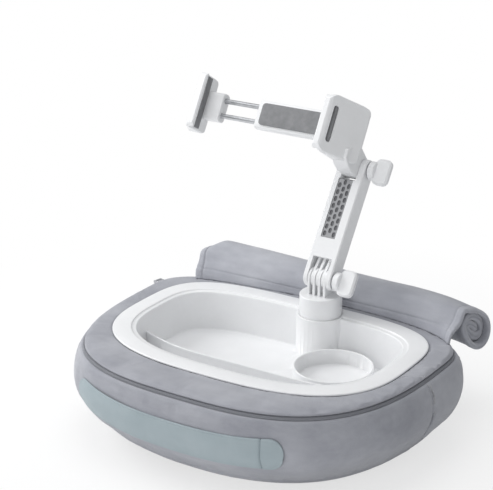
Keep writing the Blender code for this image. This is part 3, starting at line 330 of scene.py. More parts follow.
def d_points(turns, half_width, front, back, powers, centre_y=0.0):
    """Points of a squarish D at an array of turns, as an array of (x, y)."""
    across, along = np.cos(turns), np.sin(turns)
    power = np.where(along < 0, powers[0], powers[1])
    depth = np.where(along < 0, front, back)
    x = half_width * np.sign(across) * np.abs(across) ** (2 / power)
    y = centre_y + depth * np.sign(along) * np.abs(along) ** (2 / power)
    return np.column_stack([x, y])


def zip_d(turns, bulge=0.0, power=ZIP_POWERS[0]):
    """The cushion's outline, standing out from the zip line by bulge."""
    behind = np.where(np.cos(turns) > 0, ZIP_POWERS[2], ZIP_POWERS[1])
    half_width, front, back = ZIP_HALF_WIDTH + bulge, ZIP_FRONT + bulge, ZIP_BACK + bulge
    return d_points(turns, half_width, front, back, (power, behind), ZIP_WIDEST_Y)


def rim_d(turns, grow=0.0):
    """The tray rim's outline, grown outwards."""
    return d_points(turns, RIM_HALF_WIDTH + grow, RIM_FRONT + grow, RIM_BACK + grow, RIM_POWERS)


def run_along(points):
    """The length along a line of points, from 0 at the first."""
    return np.concatenate([[0], np.cumsum(np.linalg.norm(np.diff(points, axis=0), axis=1))])


def even_turns(outline, count, extra=()):
    """Turns that divide an outline into equal lengths, with extra turns added."""
    fine = np.linspace(0, 2 * math.pi, 7201)
    run = run_along(outline(fine))
    even = np.interp(np.arange(count) * run[-1] / count, run, fine)
    return np.unique(np.concatenate([even, np.array(extra) % (2 * math.pi)])), run[-1]


def upright(points, height):
    """(x, y) points raised to a height."""
    return np.column_stack([points, np.full(len(points), height)])


_, zip_length = even_turns(zip_d, 300)
print("zip line:", round(zip_length, 3), "m round")

# %% [markdown]
# A sewn or moulded skin is a net of points: rows that run round the piece, one above the
# other. The helper below joins such rows into faces. A cap closes an end either with a
# fan of triangles to a middle point or, for a flat band, with strips across it.


# %% Skins made from rows of points
def rework(mesh, *steps):
    """Runs steps on a mesh, each a function of the mesh being worked on."""
    work = bmesh.new()
    work.from_mesh(mesh)
    for step in steps:
        step(work)
    work.to_mesh(mesh)
    work.free()


def face_outwards(work):
    bmesh.ops.recalc_face_normals(work, faces=work.faces)


def weld(distance):
    """A step that joins points closer together than a distance."""
    return lambda work: bmesh.ops.remove_doubles(work, verts=work.verts, dist=distance)


def new_piece(name, points, faces, finish, smooth=True):
    """A mesh object with one finish, facing outwards."""
    mesh = bpy.data.meshes.new(name)
    mesh.from_pydata([tuple(map(float, p)) for p in points], [], faces)
    made = bpy.data.objects.new(name, mesh)
    scene.collection.objects.link(made)
    rework(mesh, face_outwards)
    mesh.materials.append(finish)
    if smooth:
        mesh.shade_smooth()
    return made


def points_of(mesh):
    """A mesh's points as an array of (x, y, z)."""
    flat = np.empty(len(mesh.vertices) * 3)
    mesh.vertices.foreach_get("co", flat)
    return flat.reshape(-1, 3)


def net_faces(rows, count):
    """Quads between closed rows of count points that follow each other."""
    faces = []
    for r in range(rows - 1):
        low, high = r * count, (r + 1) * count
        for i in range(count):
            j = (i + 1) % count
            faces.append((low + i, low + j, high + j, high + i))
    return faces


def skin(name, rings, finish, cap=None):
    """A skin through rings of points; its ends stay open or get a "fan" or "strips" cap."""
    count = len(rings[0])
    points = list(np.concatenate(rings))
    faces = net_faces(len(rings), count)
    for ring in (0, len(rings) - 1):
        first = ring * count
        if cap == "fan":
            points.append(rings[ring].mean(axis=0))
            tip = len(points) - 1
            faces += [(first + i, first + (i + 1) % count, tip) for i in range(count)]
        elif cap == "strips":
            for i in range(count // 2 - 1):
                mirror = count - 1 - i
                faces.append((first + i, first + i + 1, first + mirror - 1, first + mirror))
    return new_piece(name, points, faces, finish)


def smooth_through(at, stations, values):
    """A smooth curve through values at stations, read at an array of places."""
    stations, values = np.array(stations, float), np.array(values, float)
    slopes = np.gradient(values, stations)
    slot = np.clip(np.searchsorted(stations, at) - 1, 0, len(stations) - 2)
    span = stations[slot + 1] - stations[slot]
    t = (np.array(at) - stations[slot]) / span
    first = values[slot] * (2 * t**3 - 3 * t**2 + 1) + values[slot + 1] * (3 * t**2 - 2 * t**3)
    second = slopes[slot] * (t**3 - 2 * t**2 + t) + slopes[slot + 1] * (t**3 - t**2)
    return first + second * span


def units(vectors):
    """The vectors of an array, each made one long."""
    return vectors / np.linalg.norm(vectors, axis=1)[:, None]


def soft_step(value):
    """0 below 0, 1 above 1, and an easy ramp between."""
    t = np.clip(value, 0, 1)
    return t * t * (3 - 2 * t)


def ridge(values, place, height, half_width):
    """A smooth ridge over a place, read at an array of values."""
    return height * np.exp(-(((values - place) / half_width) ** 2))


def round_edge(inwards, radius):
    """The height of a quarter-round edge, from 0 at the edge to 1 a radius inwards."""
    return math.sqrt(max(0.0, 1 - (1 - min(inwards / radius, 1)) ** 2))


print("skin helpers ready")

# %% [markdown]
# The cushion is a bag sewn from five cuts: a side panel with a seam at each corner, a top
# band, a lining for the well and a base. The side bulges between the base seam and the
# zip because the filling pushes it out. The numbers below say how far it stands out from
# the zip line at each share of its height.

# %% Cushion sizes and the shape of its side
BODY_BOTTOM = 0.0033
SEAT_HEIGHT = 0.1033
SIDE_HEIGHT = 0.0902
SIDE_SHARES = (0, 0.052, 0.207, 0.407, 0.629, 0.850, 1)
SIDE_BULGES = (-0.0430, -0.0275, -0.0080, 0.0045, 0.0100, 0.0090, 0.0060)
SIDE_POWERS = (2.45, 2.50, 2.60, 2.80, 2.90, 2.90, 2.90)
BASIN_INSET = 0.0247
BASIN_WALL = 0.0022
BASIN_DRAFT = 0.0050
RIM_BOTTOM = 0.1036
RIM_TOP = 0.1063
FLOOR_TOP = 0.0605
FLOOR_BOTTOM = 0.0583
WELL_PLAY = 0.0015
POST_AT = (0.0194, 0.083)
STRAP_LEFT = -0.140
STRAP_RIGHT = 0.1008
STRAP_TAB = 0.0218
STRAP_MIDDLE = BODY_BOTTOM + 0.612 * SIDE_HEIGHT


def side_ring(turns, height):
    """The outside of the cushion's side at a height."""
    share = np.array([(height - BODY_BOTTOM) / SIDE_HEIGHT])
    bulge = smooth_through(share, SIDE_SHARES, SIDE_BULGES)[0]
    power = smooth_through(share, SIDE_SHARES, SIDE_POWERS)[0]
    return upright(zip_d(turns, bulge, power), height)


def basin_inset(height, outside):
    """How far the basin's wall stands inside the rim's outline at a height."""
    share = (RIM_BOTTOM - height) / (RIM_BOTTOM - FLOOR_BOTTOM)
    return BASIN_INSET - (BASIN_WALL if outside else 0) + BASIN_DRAFT * share


def well_ring(turns, height, grow=0.0):
    return upright(rim_d(turns, WELL_PLAY + grow - basin_inset(height, True)), height)


print("side at half height:", side_ring(np.array([0.0]), 0.05).round(4))

# %% [markdown]
# The cover's rows run up the side, roll over the soft lip into the zip groove, come out
# as the top band, fold under the tray's rim and line the well. The filling is then let
# push: a cloth simulation with a little pressure and a little spare fabric, held at every
# seam, puts in the slack and the puckers that sewing leaves.

# %% Cushion cover
SEAM_TURN_DEG = (-5.4, 185.4)
BASE_SEAM_HEIGHT = 0.0200
BASE_SEAM_DEPTH = 0.0009
LIPS = (  # how far out, how high, how firmly sewn: side lip, groove floor, band lip
    (0.0063, 0.0926, 0.4), (0.0058, 0.0945, 0.7), (0.0050, 0.0960, 0.9), (0.0040, 0.0970, 1.0),
    (0.0030, 0.0974, 1.0), (0.0021, 0.0972, 1.0), (0.0012, 0.0970, 1.0), (0.0002, 0.0979, 1.0),
    (-0.0009, 0.0992, 1.0), (-0.0017, 0.1002, 1.0), (-0.0017, 0.1008, 1.0), (-0.0009, 0.1010, 1.0),
    (0.0000, 0.1014, 0.9), (0.0005, 0.1022, 0.8), (0.0001, 0.1031, 0.8), (-0.0012, 0.1038, 0.6),
)
BAND = (  # share of the way from the zip line to the rim, rise, how firmly sewn
    (0.09, 0.0008, 0.0), (0.19, 0.0014, 0.0), (0.34, 0.0018, 0.0), (0.5, 0.0019, 0.0),
    (0.66, 0.0018, 0.3), (0.82, 0.0017, 0.3), (0.93, 0.0015, 0.3), (0.985, 0.0010, 0.3),
)


def cover_rows(turns):
    """Every row of the cushion's cover, and how firmly a seam holds it (0 to 1)."""
    foot = side_ring(turns, BODY_BOTTOM)
    rows = [(foot * (shrink, shrink, 1), 1.0) for shrink in (0.35, 0.7, 0.92)]
    for height in (0.0033, 0.0048, 0.0068, 0.0095, 0.0125, 0.0160, 0.0186):
        rows.append((side_ring(turns, height), 1.0 if height < 0.005 else 0.75))
    crease = side_ring(turns, BASE_SEAM_HEIGHT)
    rows.append((crease - BASE_SEAM_DEPTH * outward(crease), 1.0))
    rows += [(side_ring(turns, height), 0.0) for height in np.linspace(0.0215, 0.0905, 21)]
    rows += [(upright(zip_d(turns, bulge), height), weight) for bulge, height, weight in LIPS]
    outer, inner = zip_d(turns), rim_d(turns, 0.0006)
    for share, rise, weight in BAND:
        rows.append((upright(outer + (inner - outer) * share, SEAT_HEIGHT + rise), weight))
    for inset, drop in ((0.0, 0.0001), (0.010, 0.0003), (0.0195, 0.0003)):
        rows.append((upright(rim_d(turns, -inset), SEAT_HEIGHT - drop), 1.0))
    for height in (0.1020, 0.0950, 0.0850, 0.0750, 0.0650, 0.0610):
        rows.append((well_ring(turns, height), 1.0))
    rows.append((well_ring(turns, 0.0592, -0.0020), 1.0))
    floor = well_ring(turns, 0.0580, -0.0055)
    rows += [(floor * (shrink, shrink, 1), 1.0) for shrink in (1.0, 0.8, 0.5, 0.25)]
    return rows


def outward(ring):
    """Level unit vectors that point out of a ring."""
    along = np.roll(ring, -1, axis=0) - np.roll(ring, 1, axis=0)
    return units(np.column_stack([along[:, 1], -along[:, 0], np.zeros(len(ring))]))


def make_cushion_cover():
    seams = [math.radians(d + s) for d in SEAM_TURN_DEG for s in (-0.5, -0.2, 0, 0.2, 0.5)]
    turns, _ = even_turns(zip_d, 300, seams)
    rows = cover_rows(turns)
    made = skin("cushion_cover", [r for r, _ in rows], cushion_plush, cap="fan")
    held = made.vertex_groups.new(name="sewn")
    count = len(turns)
    for i, (_, weight) in enumerate(rows):
        held.add(list(range(i * count, (i + 1) * count)), weight, "REPLACE")
    held.add([len(rows) * count, len(rows) * count + 1], 1.0, "REPLACE")
    return made, len(rows), count


cushion_cover, cover_row_count, cover_columns = make_cushion_cover()
print("cushion cover:", len(cushion_cover.data.vertices), "points")

# %% [markdown]
# A vertical seam joins the side panel's cuts near each widest point, and a low seam joins
# the side to the base. Seams are modelled after the fabric has settled: the stitch line
# sinks, the fabric swells on both sides of it, and small gathers run away from it.


# %% Let the filling push, then crease the seams
FILLING = {  # the cloth simulation's settings
    "quality": 5,
    "mass": 0.35,
    "tension_stiffness": 22,
    "compression_stiffness": 14,
    "shear_stiffness": 8,
    "bending_stiffness": 0.25,
    "use_pressure": True,
    "uniform_pressure_force": 2.2,
    "shrink_min": -0.018,
    "vertex_group_mass": "sewn",
    "pin_stiffness": 20,
}
SETTLING_FRAMES = 14
SIDE_MOST, BAND_MOST = 0.0016, 0.0008  # the most that a point of the side or band may move
SEAM_SINK = (0, 0.0014, 0.0014)  # ridges: their place, height and half width
SEAM_SWELL = (0.0060, 0.0006, 0.0035)
ZIP_GATHERS = (0.0900, 0.0007, 0.0065)
BASE_GATHERS = (BASE_SEAM_HEIGHT, 0.0008, 0.0060)
SIDE_WAVES, BAND_WAVES = 0.0016, 0.0005


def settle(piece):
    """The piece's points after a short cloth simulation with the filling's pressure."""
    cloth = piece.modifiers.new("filling", "CLOTH")
    for name, value in FILLING.items():
        setattr(cloth.settings, name, value)
    cloth.settings.effector_weights.gravity = 0
    cloth.collision_settings.use_collision = False
    cloth.point_cache.frame_start = 1
    cloth.point_cache.frame_end = SETTLING_FRAMES
    for at in range(1, SETTLING_FRAMES + 1):
        scene.frame_set(at)
    view = bpy.context.evaluated_depsgraph_get()
    after = points_of(piece.evaluated_get(view).data)
    piece.modifiers.remove(cloth)
    scene.frame_set(1)
    return after


def capped(before, after, most):
    """Keeps each point's movement below a most distance."""
    move = after - before
    reach = np.linalg.norm(move, axis=1)
    scale = np.minimum(1, most / np.maximum(reach, 1e-9))
    return before + move * scale[:, None]


def gathers(points, pitch, seed):
    """Uneven waves for gathered fabric, from -1 to 1, at rows of points."""
    return np.array([noise.noise(Vector(p) / pitch + Vector((seed, 0, 0))) for p in points])


def crease_cover(points, rows, count):
    """Sinks the seams and raises the fabric beside them."""
    grid = points[: rows * count].reshape(rows, count, 3)
    height = grid[:, :, 2]
    out = np.array([outward(ring) for ring in grid])
    side = soft_step((height - 0.004) / 0.006) * soft_step((0.0965 - height) / 0.006)
    for turn_deg in SEAM_TURN_DEG:
        here = side_ring(np.array([math.radians(turn_deg)]), 0.055)[0]
        apart = np.abs(grid[:, :, 1] - here[1])
        same = (np.sign(grid[:, :, 0]) == np.sign(here[0])) * side
        same = same * soft_step((0.0925 - height) / 0.008)
        raised = ridge(apart, *SEAM_SWELL) - ridge(apart, *SEAM_SINK)
        grid += out * (same * raised)[:, :, None]
    flat = grid.reshape(-1, 3)
    waves = gathers(flat * (1, 1, 0.35), 0.0075, 3.0).reshape(rows, count)
    reach = ridge(height, *ZIP_GATHERS) * (height < 0.0955) + ridge(height, *BASE_GATHERS)
    grid += out * (waves * reach * side)[:, :, None]
    soft = gathers(flat, 0.055, 9.0).reshape(rows, count)
    grid += out * (soft * side * SIDE_WAVES)[:, :, None]
    band = (height > 0.1030) * soft_step((0.0015 - np.abs(height - 0.1044)) / 0.001)
    grid[:, :, 2] += band * gathers(flat, 0.022, 5.0).reshape(rows, count) * BAND_WAVES
    points[: rows * count] = grid.reshape(-1, 3)
    return points


def finish_cushion_cover():
    before = after = points_of(cushion_cover.data)
    after = settle(cushion_cover)
    band = (before[:, 2] > 0.1025)[:, None]
    points = np.where(band, capped(before, after, BAND_MOST), capped(before, after, SIDE_MOST))
    # Under the strap the fabric keeps nine tenths of its drawn shape, so the strap lies on it.
    strap = soft_step((0.030 - np.abs(before[:, 2] - STRAP_MIDDLE)) / 0.008)
    strap *= soft_step((STRAP_RIGHT + STRAP_TAB + 0.012 - before[:, 0]) / 0.010)
    strap *= soft_step((before[:, 0] - STRAP_LEFT + 0.012) / 0.010) * (before[:, 1] < 0)
    points = points + (before - points) * (strap * 0.9)[:, None]
    points = crease_cover(points, cover_row_count, cover_columns)
    cushion_cover.data.vertices.foreach_set("co", points.ravel())
    cushion_cover.data.update()
    return np.linalg.norm(after - before, axis=1) * 1000


moved = finish_cushion_cover()
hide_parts("cushion_body")
print("fabric moved:", moved.mean().round(2), "mm on average,", moved.max().round(2), "at most")

# %% [markdown]
# The base is a separate cut of tougher cloth with a piping cord sewn round its edge. The
# piping hides the seam allowance and keeps the seam from wearing on the lap or the table.

# %% Base panel with its piping
BASE_BULGE = -0.0440
BASE_POWER = 2.45
PIPING_RADIUS = 0.0015


def make_base_panel():
    turns, _ = even_turns(zip_d, 240)

    def flat(shrink, height):
        return upright(zip_d(turns, BASE_BULGE, BASE_POWER), height) * (shrink, shrink, 1)

    rings = [flat(0.4, 0.0002), flat(0.75, 0.0001), flat(0.97, 0.0001)]
    for angle in np.radians(np.arange(-80, 81, 20)):
        reach = BASE_BULGE - 0.0004 + PIPING_RADIUS * math.cos(angle)
        rise = PIPING_RADIUS + PIPING_RADIUS * math.sin(angle)
        rings.append(upright(zip_d(turns, reach, BASE_POWER), rise))
    rings += [flat(shrink, 0.0026) for shrink in (0.985, 0.75, 0.4)]
    return skin("base_cloth_panel", rings, base_cloth, cap="fan")


base_cloth_panel = make_base_panel()
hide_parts("base_panel")
print("base panel:", len(base_cloth_panel.data.vertices), "points")

# %% [markdown]
# The zip closes the cover over the tray. Its tape is sewn into the groove and leans back,
# so that it faces out and up, and shows as a dark line all round. Two rows of small
# moulded teeth lock into each other along its middle, high and low in turn.

# %% Zip tape and teeth
ZIP_FROM_DEG = 24.0
ZIP_TO_DEG = -204.0
ZIP_PITCH = 0.0022
ZIP_BULGE = 0.0008
ZIP_MIDDLE = 0.0990
ZIP_LEAN = math.radians(41)
TAPE = ((-0.0020, 0.0), (-0.0018, 0.0005), (0.0, 0.0006), (0.0018, 0.0005), (0.0020, 0.0))
TOOTH_ROWS = (  # up the tape and proud of it, at a tooth's foot and tip: low, middle, high
    ((-0.0010, 0.0006), (-0.0007, 0.0012)),
    ((0.0, 0.0006), (0.0, 0.0012)),
    ((0.0010, 0.0006), (0.0007, 0.0012)),
)
TOOTH_HALF = ZIP_PITCH * 0.36


def zip_run():
    """Points along the zip, evenly spaced by length, and unit vectors out of it."""
    fine = np.radians(np.linspace(ZIP_FROM_DEG, ZIP_TO_DEG, 4001))
    run = run_along(zip_d(fine, ZIP_BULGE))
    count = int(run[-1] / (ZIP_PITCH / 2))
    points = zip_d(np.interp(np.linspace(0, run[-1], count), run, fine), ZIP_BULGE)
    along = np.gradient(points, axis=0)
    out = units(np.column_stack([-along[:, 1], along[:, 0]]))
    if (out[count // 2] * (points[count // 2] - (0, ZIP_WIDEST_Y))).sum() < 0:
        out = -out
    return points, out


def on_zip(points, out, along_slope, proud):
    """Points on the leaning tape: up its slope and proud of it, both in metres."""
    reach = proud * math.cos(ZIP_LEAN) - along_slope * math.sin(ZIP_LEAN)
    rise = proud * math.sin(ZIP_LEAN) + along_slope * math.cos(ZIP_LEAN)
    return upright(points + out * reach, ZIP_MIDDLE + rise)


def make_zip():
    points, out = zip_run()
    tape = np.stack([on_zip(points, out, slope, proud) for slope, proud in TAPE], axis=1)
    tape_piece = skin("zip_tape", list(tape), zip_cloth, cap="strips")
    low, middle, high = [[on_zip(points, out, *place) for place in row] for row in TOOTH_ROWS]
    teeth = []
    for i, push in enumerate(out):
        along = np.array([-push[1], push[0], 0]) * TOOTH_HALF
        first, last = (low, middle) if i % 2 else (middle, high)
        corners = [first[0][i], last[0][i], first[1][i], last[1][i]]
        teeth.append([c - along for c in corners] + [c + along for c in corners])
    sides = ((0, 2, 3, 1), (4, 5, 7, 6), (0, 4, 6, 2), (1, 3, 7, 5), (2, 6, 7, 3))
    faces = [tuple(8 * i + k for k in f) for i in range(len(points)) for f in sides]
    teeth_piece = new_piece("zip_teeth", np.concatenate(teeth), faces, zip_teeth_plastic, False)
    return tape_piece, teeth_piece


zip_teeth_plastic = moulded("zip_teeth_plastic", (0.240, 0.246, 0.272), 0.55)
zip_tape, zip_teeth = make_zip()
for piece in (zip_tape, zip_teeth):
    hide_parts("zip_track")
print("zip teeth:", len(zip_teeth.data.vertices) // 8)

# %% [markdown]
# When the tray is in use the cover is not cut off: it folds back over its seam behind
# the tray and rolls up. It is drawn as one thick sheet with two skins, a rounded edge, a
# double hem with its stitch line, and a spiral of nearly two and a half turns. Its outer
# turns lie closer together than its core, and the sheet is thicker there. The right end
# sags past the cushion's corner, and the left end is tucked in like the end of a bolster.

# %% Rolled-up cover
COVER_HALF = 0.0025
ROLL_CENTRE = (0.1528, 0.1060)
ROLL_HALF_DEPTH = 0.0377
ROLL_HALF_HEIGHT = 0.0227
ROLL_TILT = math.radians(-30)
ROLL_CORE = 0.0222
ROLL_TURNS = 2.4
ROLL_HALF_LENGTH = 0.181
ROLL_BOTTOM = 0.080
ROOT_LEFT = -0.160
ROOT_RIGHT = 0.181
ROOT_SEAM = (0.0085, 0.0011, 0.0009)  # ridges again: seam, hem stitches, recess of the right fold
HEM_STITCH = (0.0094, 0.0007, 0.0006)
FOLD_RECESS = (0.16, 0.0050, 0.09)
HEM_WIDTH, HEM_RISE = 0.0086, 0.0007
CORE_THICKER = 0.60  # how much thicker the sheet is drawn in the core
CORE_RECESS = 0.0060  # how far the core stands in at both ends
TUCK_AT = (0.135, 0.090)
TUCK_FROM, TUCK_LENGTH = 0.144, 0.037
SAG_FROM, SAG_LENGTH, SAG_DROP = 0.080, 0.101, 0.0085
HEM_PLACES = (  # how far in from the edge its rows are drawn
    0.0, 0.0004, 0.0011, 0.0020, 0.0034, 0.0052, 0.0068, 0.0078, 0.0086, 0.0094, 0.0104, 0.0125, 0.0150
)


def root_line(x):
    """(y, z) of the seam that the cover turns on."""
    share = np.minimum(np.abs(x) / ZIP_HALF_WIDTH, 0.98)
    power = np.where(x > 0, ZIP_POWERS[2], ZIP_POWERS[1])
    reach = (1 - share**power) ** (1 / power)
    y = ZIP_WIDEST_Y + ZIP_BACK * reach - 0.0030 - 0.0060 * soft_step((-x - 0.02) / 0.08)
    return np.stack([y, np.full(np.shape(x), SEAT_HEIGHT + 0.0016)], axis=-1)


def spiral(turned):
    """(y, z) on the flattened spiral after an angle, from the outside to the core."""
    pitch = ROLL_CORE * (turned / (2 * math.pi * ROLL_TURNS)) ** 1.35
    turn = math.pi - turned
    deep = (ROLL_HALF_DEPTH - pitch) * np.cos(turn)
    high = (ROLL_HALF_HEIGHT - pitch) * np.sin(turn)
    y = ROLL_CENTRE[0] + deep * math.cos(ROLL_TILT) - high * math.sin(ROLL_TILT)
    z = ROLL_CENTRE[1] + deep * math.sin(ROLL_TILT) + high * math.cos(ROLL_TILT)
    return np.stack([y, z], axis=-1)


def cover_section(x):
    """The cover's middle line in the section at x: (y, z) from the seam to the core."""
    root, start = root_line(x), spiral(np.array(0.0))
    ahead = spiral(np.array(0.07)) - start
    ahead /= np.linalg.norm(ahead)
    handle = np.linalg.norm(start - root) * 0.45
    lean = np.array([0.25, 1.0]) / math.hypot(0.25, 1.0)
    corners = (root, root + lean * handle, start - ahead * handle, start)
    t = np.linspace(0, 1, 29)[:-1, None]
    shares = ((1 - t) ** 3, 3 * t * (1 - t) ** 2, 3 * t * t * (1 - t), t**3)
    riser = sum(corner * share for corner, share in zip(corners, shares))
    return np.concatenate([riser, spiral(np.linspace(0, 2 * math.pi * ROLL_TURNS, 111))])


def edge_places():
    """Places across the cover from -1 to 1, close together at the hems."""
    side = [-1 + d / ROLL_HALF_LENGTH for d in HEM_PLACES]
    middle = np.linspace(side[-1], -side[-1], 72)[1:-1]
    return np.concatenate([side, middle, [-s for s in side[::-1]]])


def make_rolled_cover():
    run = run_along(cover_section(0.0))
    share = run / run[-1]
    spread = np.sin(np.minimum(share / 0.16, 1) * math.pi / 2)
    tight = 1 + CORE_THICKER * soft_step((share - 0.45) / 0.15)
    seam = ridge(run, *ROOT_SEAM)
    tip = np.minimum(1, (1 - share) / 0.012) ** 0.5
    outer, inner = [], []
    for place in edge_places():
        root = (ROOT_LEFT + ROOT_RIGHT) / 2 + place * (ROOT_RIGHT - ROOT_LEFT) / 2
        line = cover_section(root)
        ahead = units(np.gradient(line, axis=0))
        out = np.column_stack([-ahead[:, 1], ahead[:, 0]])
        out[0] = out[1]
        edge = (1 - abs(place)) * ROLL_HALF_LENGTH
        thick = COVER_HALF * round_edge(edge, COVER_HALF)
        hem = HEM_RISE * soft_step((HEM_WIDTH - edge) / 0.0012) * soft_step(edge / 0.0015)
        thick = (thick + hem - ridge(edge, *HEM_STITCH)) * tight * np.maximum(tip, 0.02)
        x = root + (ROLL_HALF_LENGTH * place - root) * spread
        x = x - place * CORE_RECESS * soft_step((share - 0.45) / 0.17)
        x = x - place * ridge(share, *FOLD_RECESS) * (place > 0)
        for sign, side in ((1, outer), (-1, inner)):
            yz = line + out * (sign * thick - (seam if sign > 0 else 0))[:, None]
            side.append(np.column_stack([x, yz]))
    return np.concatenate([np.array(outer), np.array(inner)[::-1]]), share


def shape_roll(grid, share):
    """Folds along the roll, gathers at its root, and the two ends."""
    x, y, z = grid[..., 0], grid[..., 1], grid[..., 2]
    rolled = soft_step((share - 0.05) / 0.10)[None, :]
    away_y, away_z = y - ROLL_CENTRE[0], z - ROLL_CENTRE[1]
    reach = np.maximum(np.hypot(away_y, away_z), 0.004)
    spots = ((x * 7, away_y * 30, away_z * 30), (x * 60, away_y * 25 + 7, away_z * 25))
    spots = [np.stack(spot, axis=-1).reshape(-1, 3) for spot in spots]
    fold, pucker = [gathers(spot, 1, 0).reshape(x.shape) for spot in spots]
    push = fold * 0.0014 * rolled + pucker * 0.0005 * (1 - 0.6 * rolled)
    push *= soft_step(share / 0.03)[None, :]
    y, z = y + away_y / reach * push, z + away_z / reach * push
    z = z + (z - ROLL_BOTTOM) * 0.09 * soft_step((0.06 - x) / 0.22) * rolled
    # The left end is drawn in towards one point, like the end of a bolster.
    tuck = np.clip((-x - TUCK_FROM) / TUCK_LENGTH, 0, 1)
    size = 1 - (1 - (1 - (0.95 * tuck) ** 3) ** 0.4) * rolled
    x = x + rolled * tuck**1.5 * (0.0125 + np.maximum(0, z - TUCK_AT[1]) * 0.25)
    y, z = TUCK_AT[0] + (y - TUCK_AT[0]) * size, TUCK_AT[1] + (z - TUCK_AT[1]) * size
    # The right end hangs free, so it sags, spreads a little and flattens on top.
    sag = np.clip((x - SAG_FROM) / SAG_LENGTH, 0, 1) ** 3 * rolled
    x = x + sag * 0.0030
    y = ROLL_CENTRE[0] + (y - ROLL_CENTRE[0]) * (1 + 0.03 * sag)
    squash = 0.05 + 0.11 * np.tanh((z - ROLL_CENTRE[1]) / 0.012)
    z = ROLL_CENTRE[1] + (z - ROLL_CENTRE[1]) * (1 - squash * sag) - SAG_DROP * sag
    return np.stack([x, y, z], axis=-1)


roll_grid = shape_roll(*make_rolled_cover())
roll_rows = list(np.swapaxes(roll_grid, 0, 1))
rolled_cover = skin("rolled_cover", roll_rows, cover_plush, cap="strips")
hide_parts("cover_roll")
flat_length = run_along(cover_section(0.0))[-1]
print("cover laid flat:", 2 * ROLL_HALF_LENGTH, "by", flat_length.round(3), "m")

# %% [markdown]
# A flat strap runs across the front for carrying. It is smooth tape with both long edges
# turned and stitched; at its right end a doubled tab is sewn on over the strap's end.
# Both lie on the fabric, so each point is found on the cushion's side and lifted off it.

# %% Strap and its end tab
STRAP_HALF = 0.0172
STRAP_RISE = 0.0041
STRAP_STAND_OFF = 0.0011
STRAP_THICK = 0.0016
TAB_THICK = 0.0026
TAB_ROUND = STRAP_HALF * 0.8
STRAP_STITCH = (0.0024, 0.00035, 0.0006)  # a ridge turned inwards
STRAP_ROWS = [1.0, 0.99, 0.965, 0.93, 0.90, 0.87, 0.84, 0.80, 0.5, 0.2]


def front_point(x, height):
    """Where the cushion's front is, at a place along it and a height."""
    share = (height - BODY_BOTTOM) / SIDE_HEIGHT
    bulge = np.interp(share, SIDE_SHARES, SIDE_BULGES)
    power = np.interp(share, SIDE_SHARES, SIDE_POWERS)
    along = abs(x) / (ZIP_HALF_WIDTH + bulge)
    reach = (1 - along**power) ** (1 / power)
    return np.array([x, ZIP_WIDEST_Y - (ZIP_FRONT + bulge) * reach, height])


def front_out(x, height):
    """A unit vector out of the cushion's front."""
    step = 0.004
    across = front_point(x + step, height) - front_point(x - step, height)
    up = front_point(x, height + step) - front_point(x, height - step)
    out = np.cross(across, up)
    return out / np.linalg.norm(out)


def strap_skin(name, stations, thickness):
    """A flat band with rounded, stitched edges; stations are (x, half width)."""
    edge = thickness / 2
    rows = STRAP_ROWS + [-r for r in STRAP_ROWS[::-1]]
    rings = []
    for x, half in stations:
        ring = []
        for sign in (1, -1):
            for row in rows[::sign]:
                from_edge = (1 - abs(row)) * half
                lift = edge * round_edge(from_edge, edge)
                dip = ridge(from_edge, *STRAP_STITCH) if sign > 0 else 0
                height = STRAP_MIDDLE + STRAP_RISE * (x / STRAP_RIGHT) ** 2 + row * half
                off = STRAP_STAND_OFF + edge + sign * (lift - dip)
                ring.append(front_point(x, height) + front_out(x, height) * off)
        rings.append(np.array(ring))
    return skin(name, rings, strap_cloth, cap="strips")


def make_strap():
    stations = []
    for t in np.radians([1, 5, 10, 16, 24, 32, 42, 54, 66, 78, 90]):
        x = STRAP_LEFT + STRAP_HALF * (1 - math.cos(t))
        stations.append((x, max(STRAP_HALF * math.sin(t), 0.0008)))
    stations += [(x, STRAP_HALF) for x in np.linspace(stations[-1][0], STRAP_RIGHT, 60)[1:]]
    return strap_skin("carry_strap_tape", stations, STRAP_THICK)


def make_tab():
    start = STRAP_RIGHT + 0.0003
    bend = STRAP_RIGHT + STRAP_TAB - TAB_ROUND
    stations = [(start, STRAP_HALF - 0.0008), (start + 0.0004, STRAP_HALF - 0.0002)]
    stations += [(x, STRAP_HALF) for x in np.linspace(start + 0.001, bend, 6)]
    for t in np.radians([12, 24, 36, 48, 60, 72, 81, 87]):
        stations.append((bend + TAB_ROUND * math.sin(t), STRAP_HALF * math.cos(t)))
    return strap_skin("strap_tab", stations, TAB_THICK)


carry_strap_tape = make_strap()
strap_tab = make_tab()
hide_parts("carry_strap")
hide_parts("strap_end_tab")
print("strap:", len(carry_strap_tape.data.vertices), "points")

# %% [markdown]
# The tray is one moulding: a broad flat rim to rest on, a small step where the cover or a
# lid can sit, a basin with drafted walls so that it leaves its mould, a divider, a ring
# for a cup and a socket for the post. Its rings are drawn with rounded edges, and the
# inner walls are joined on with exact unions and cut with the post's bore.

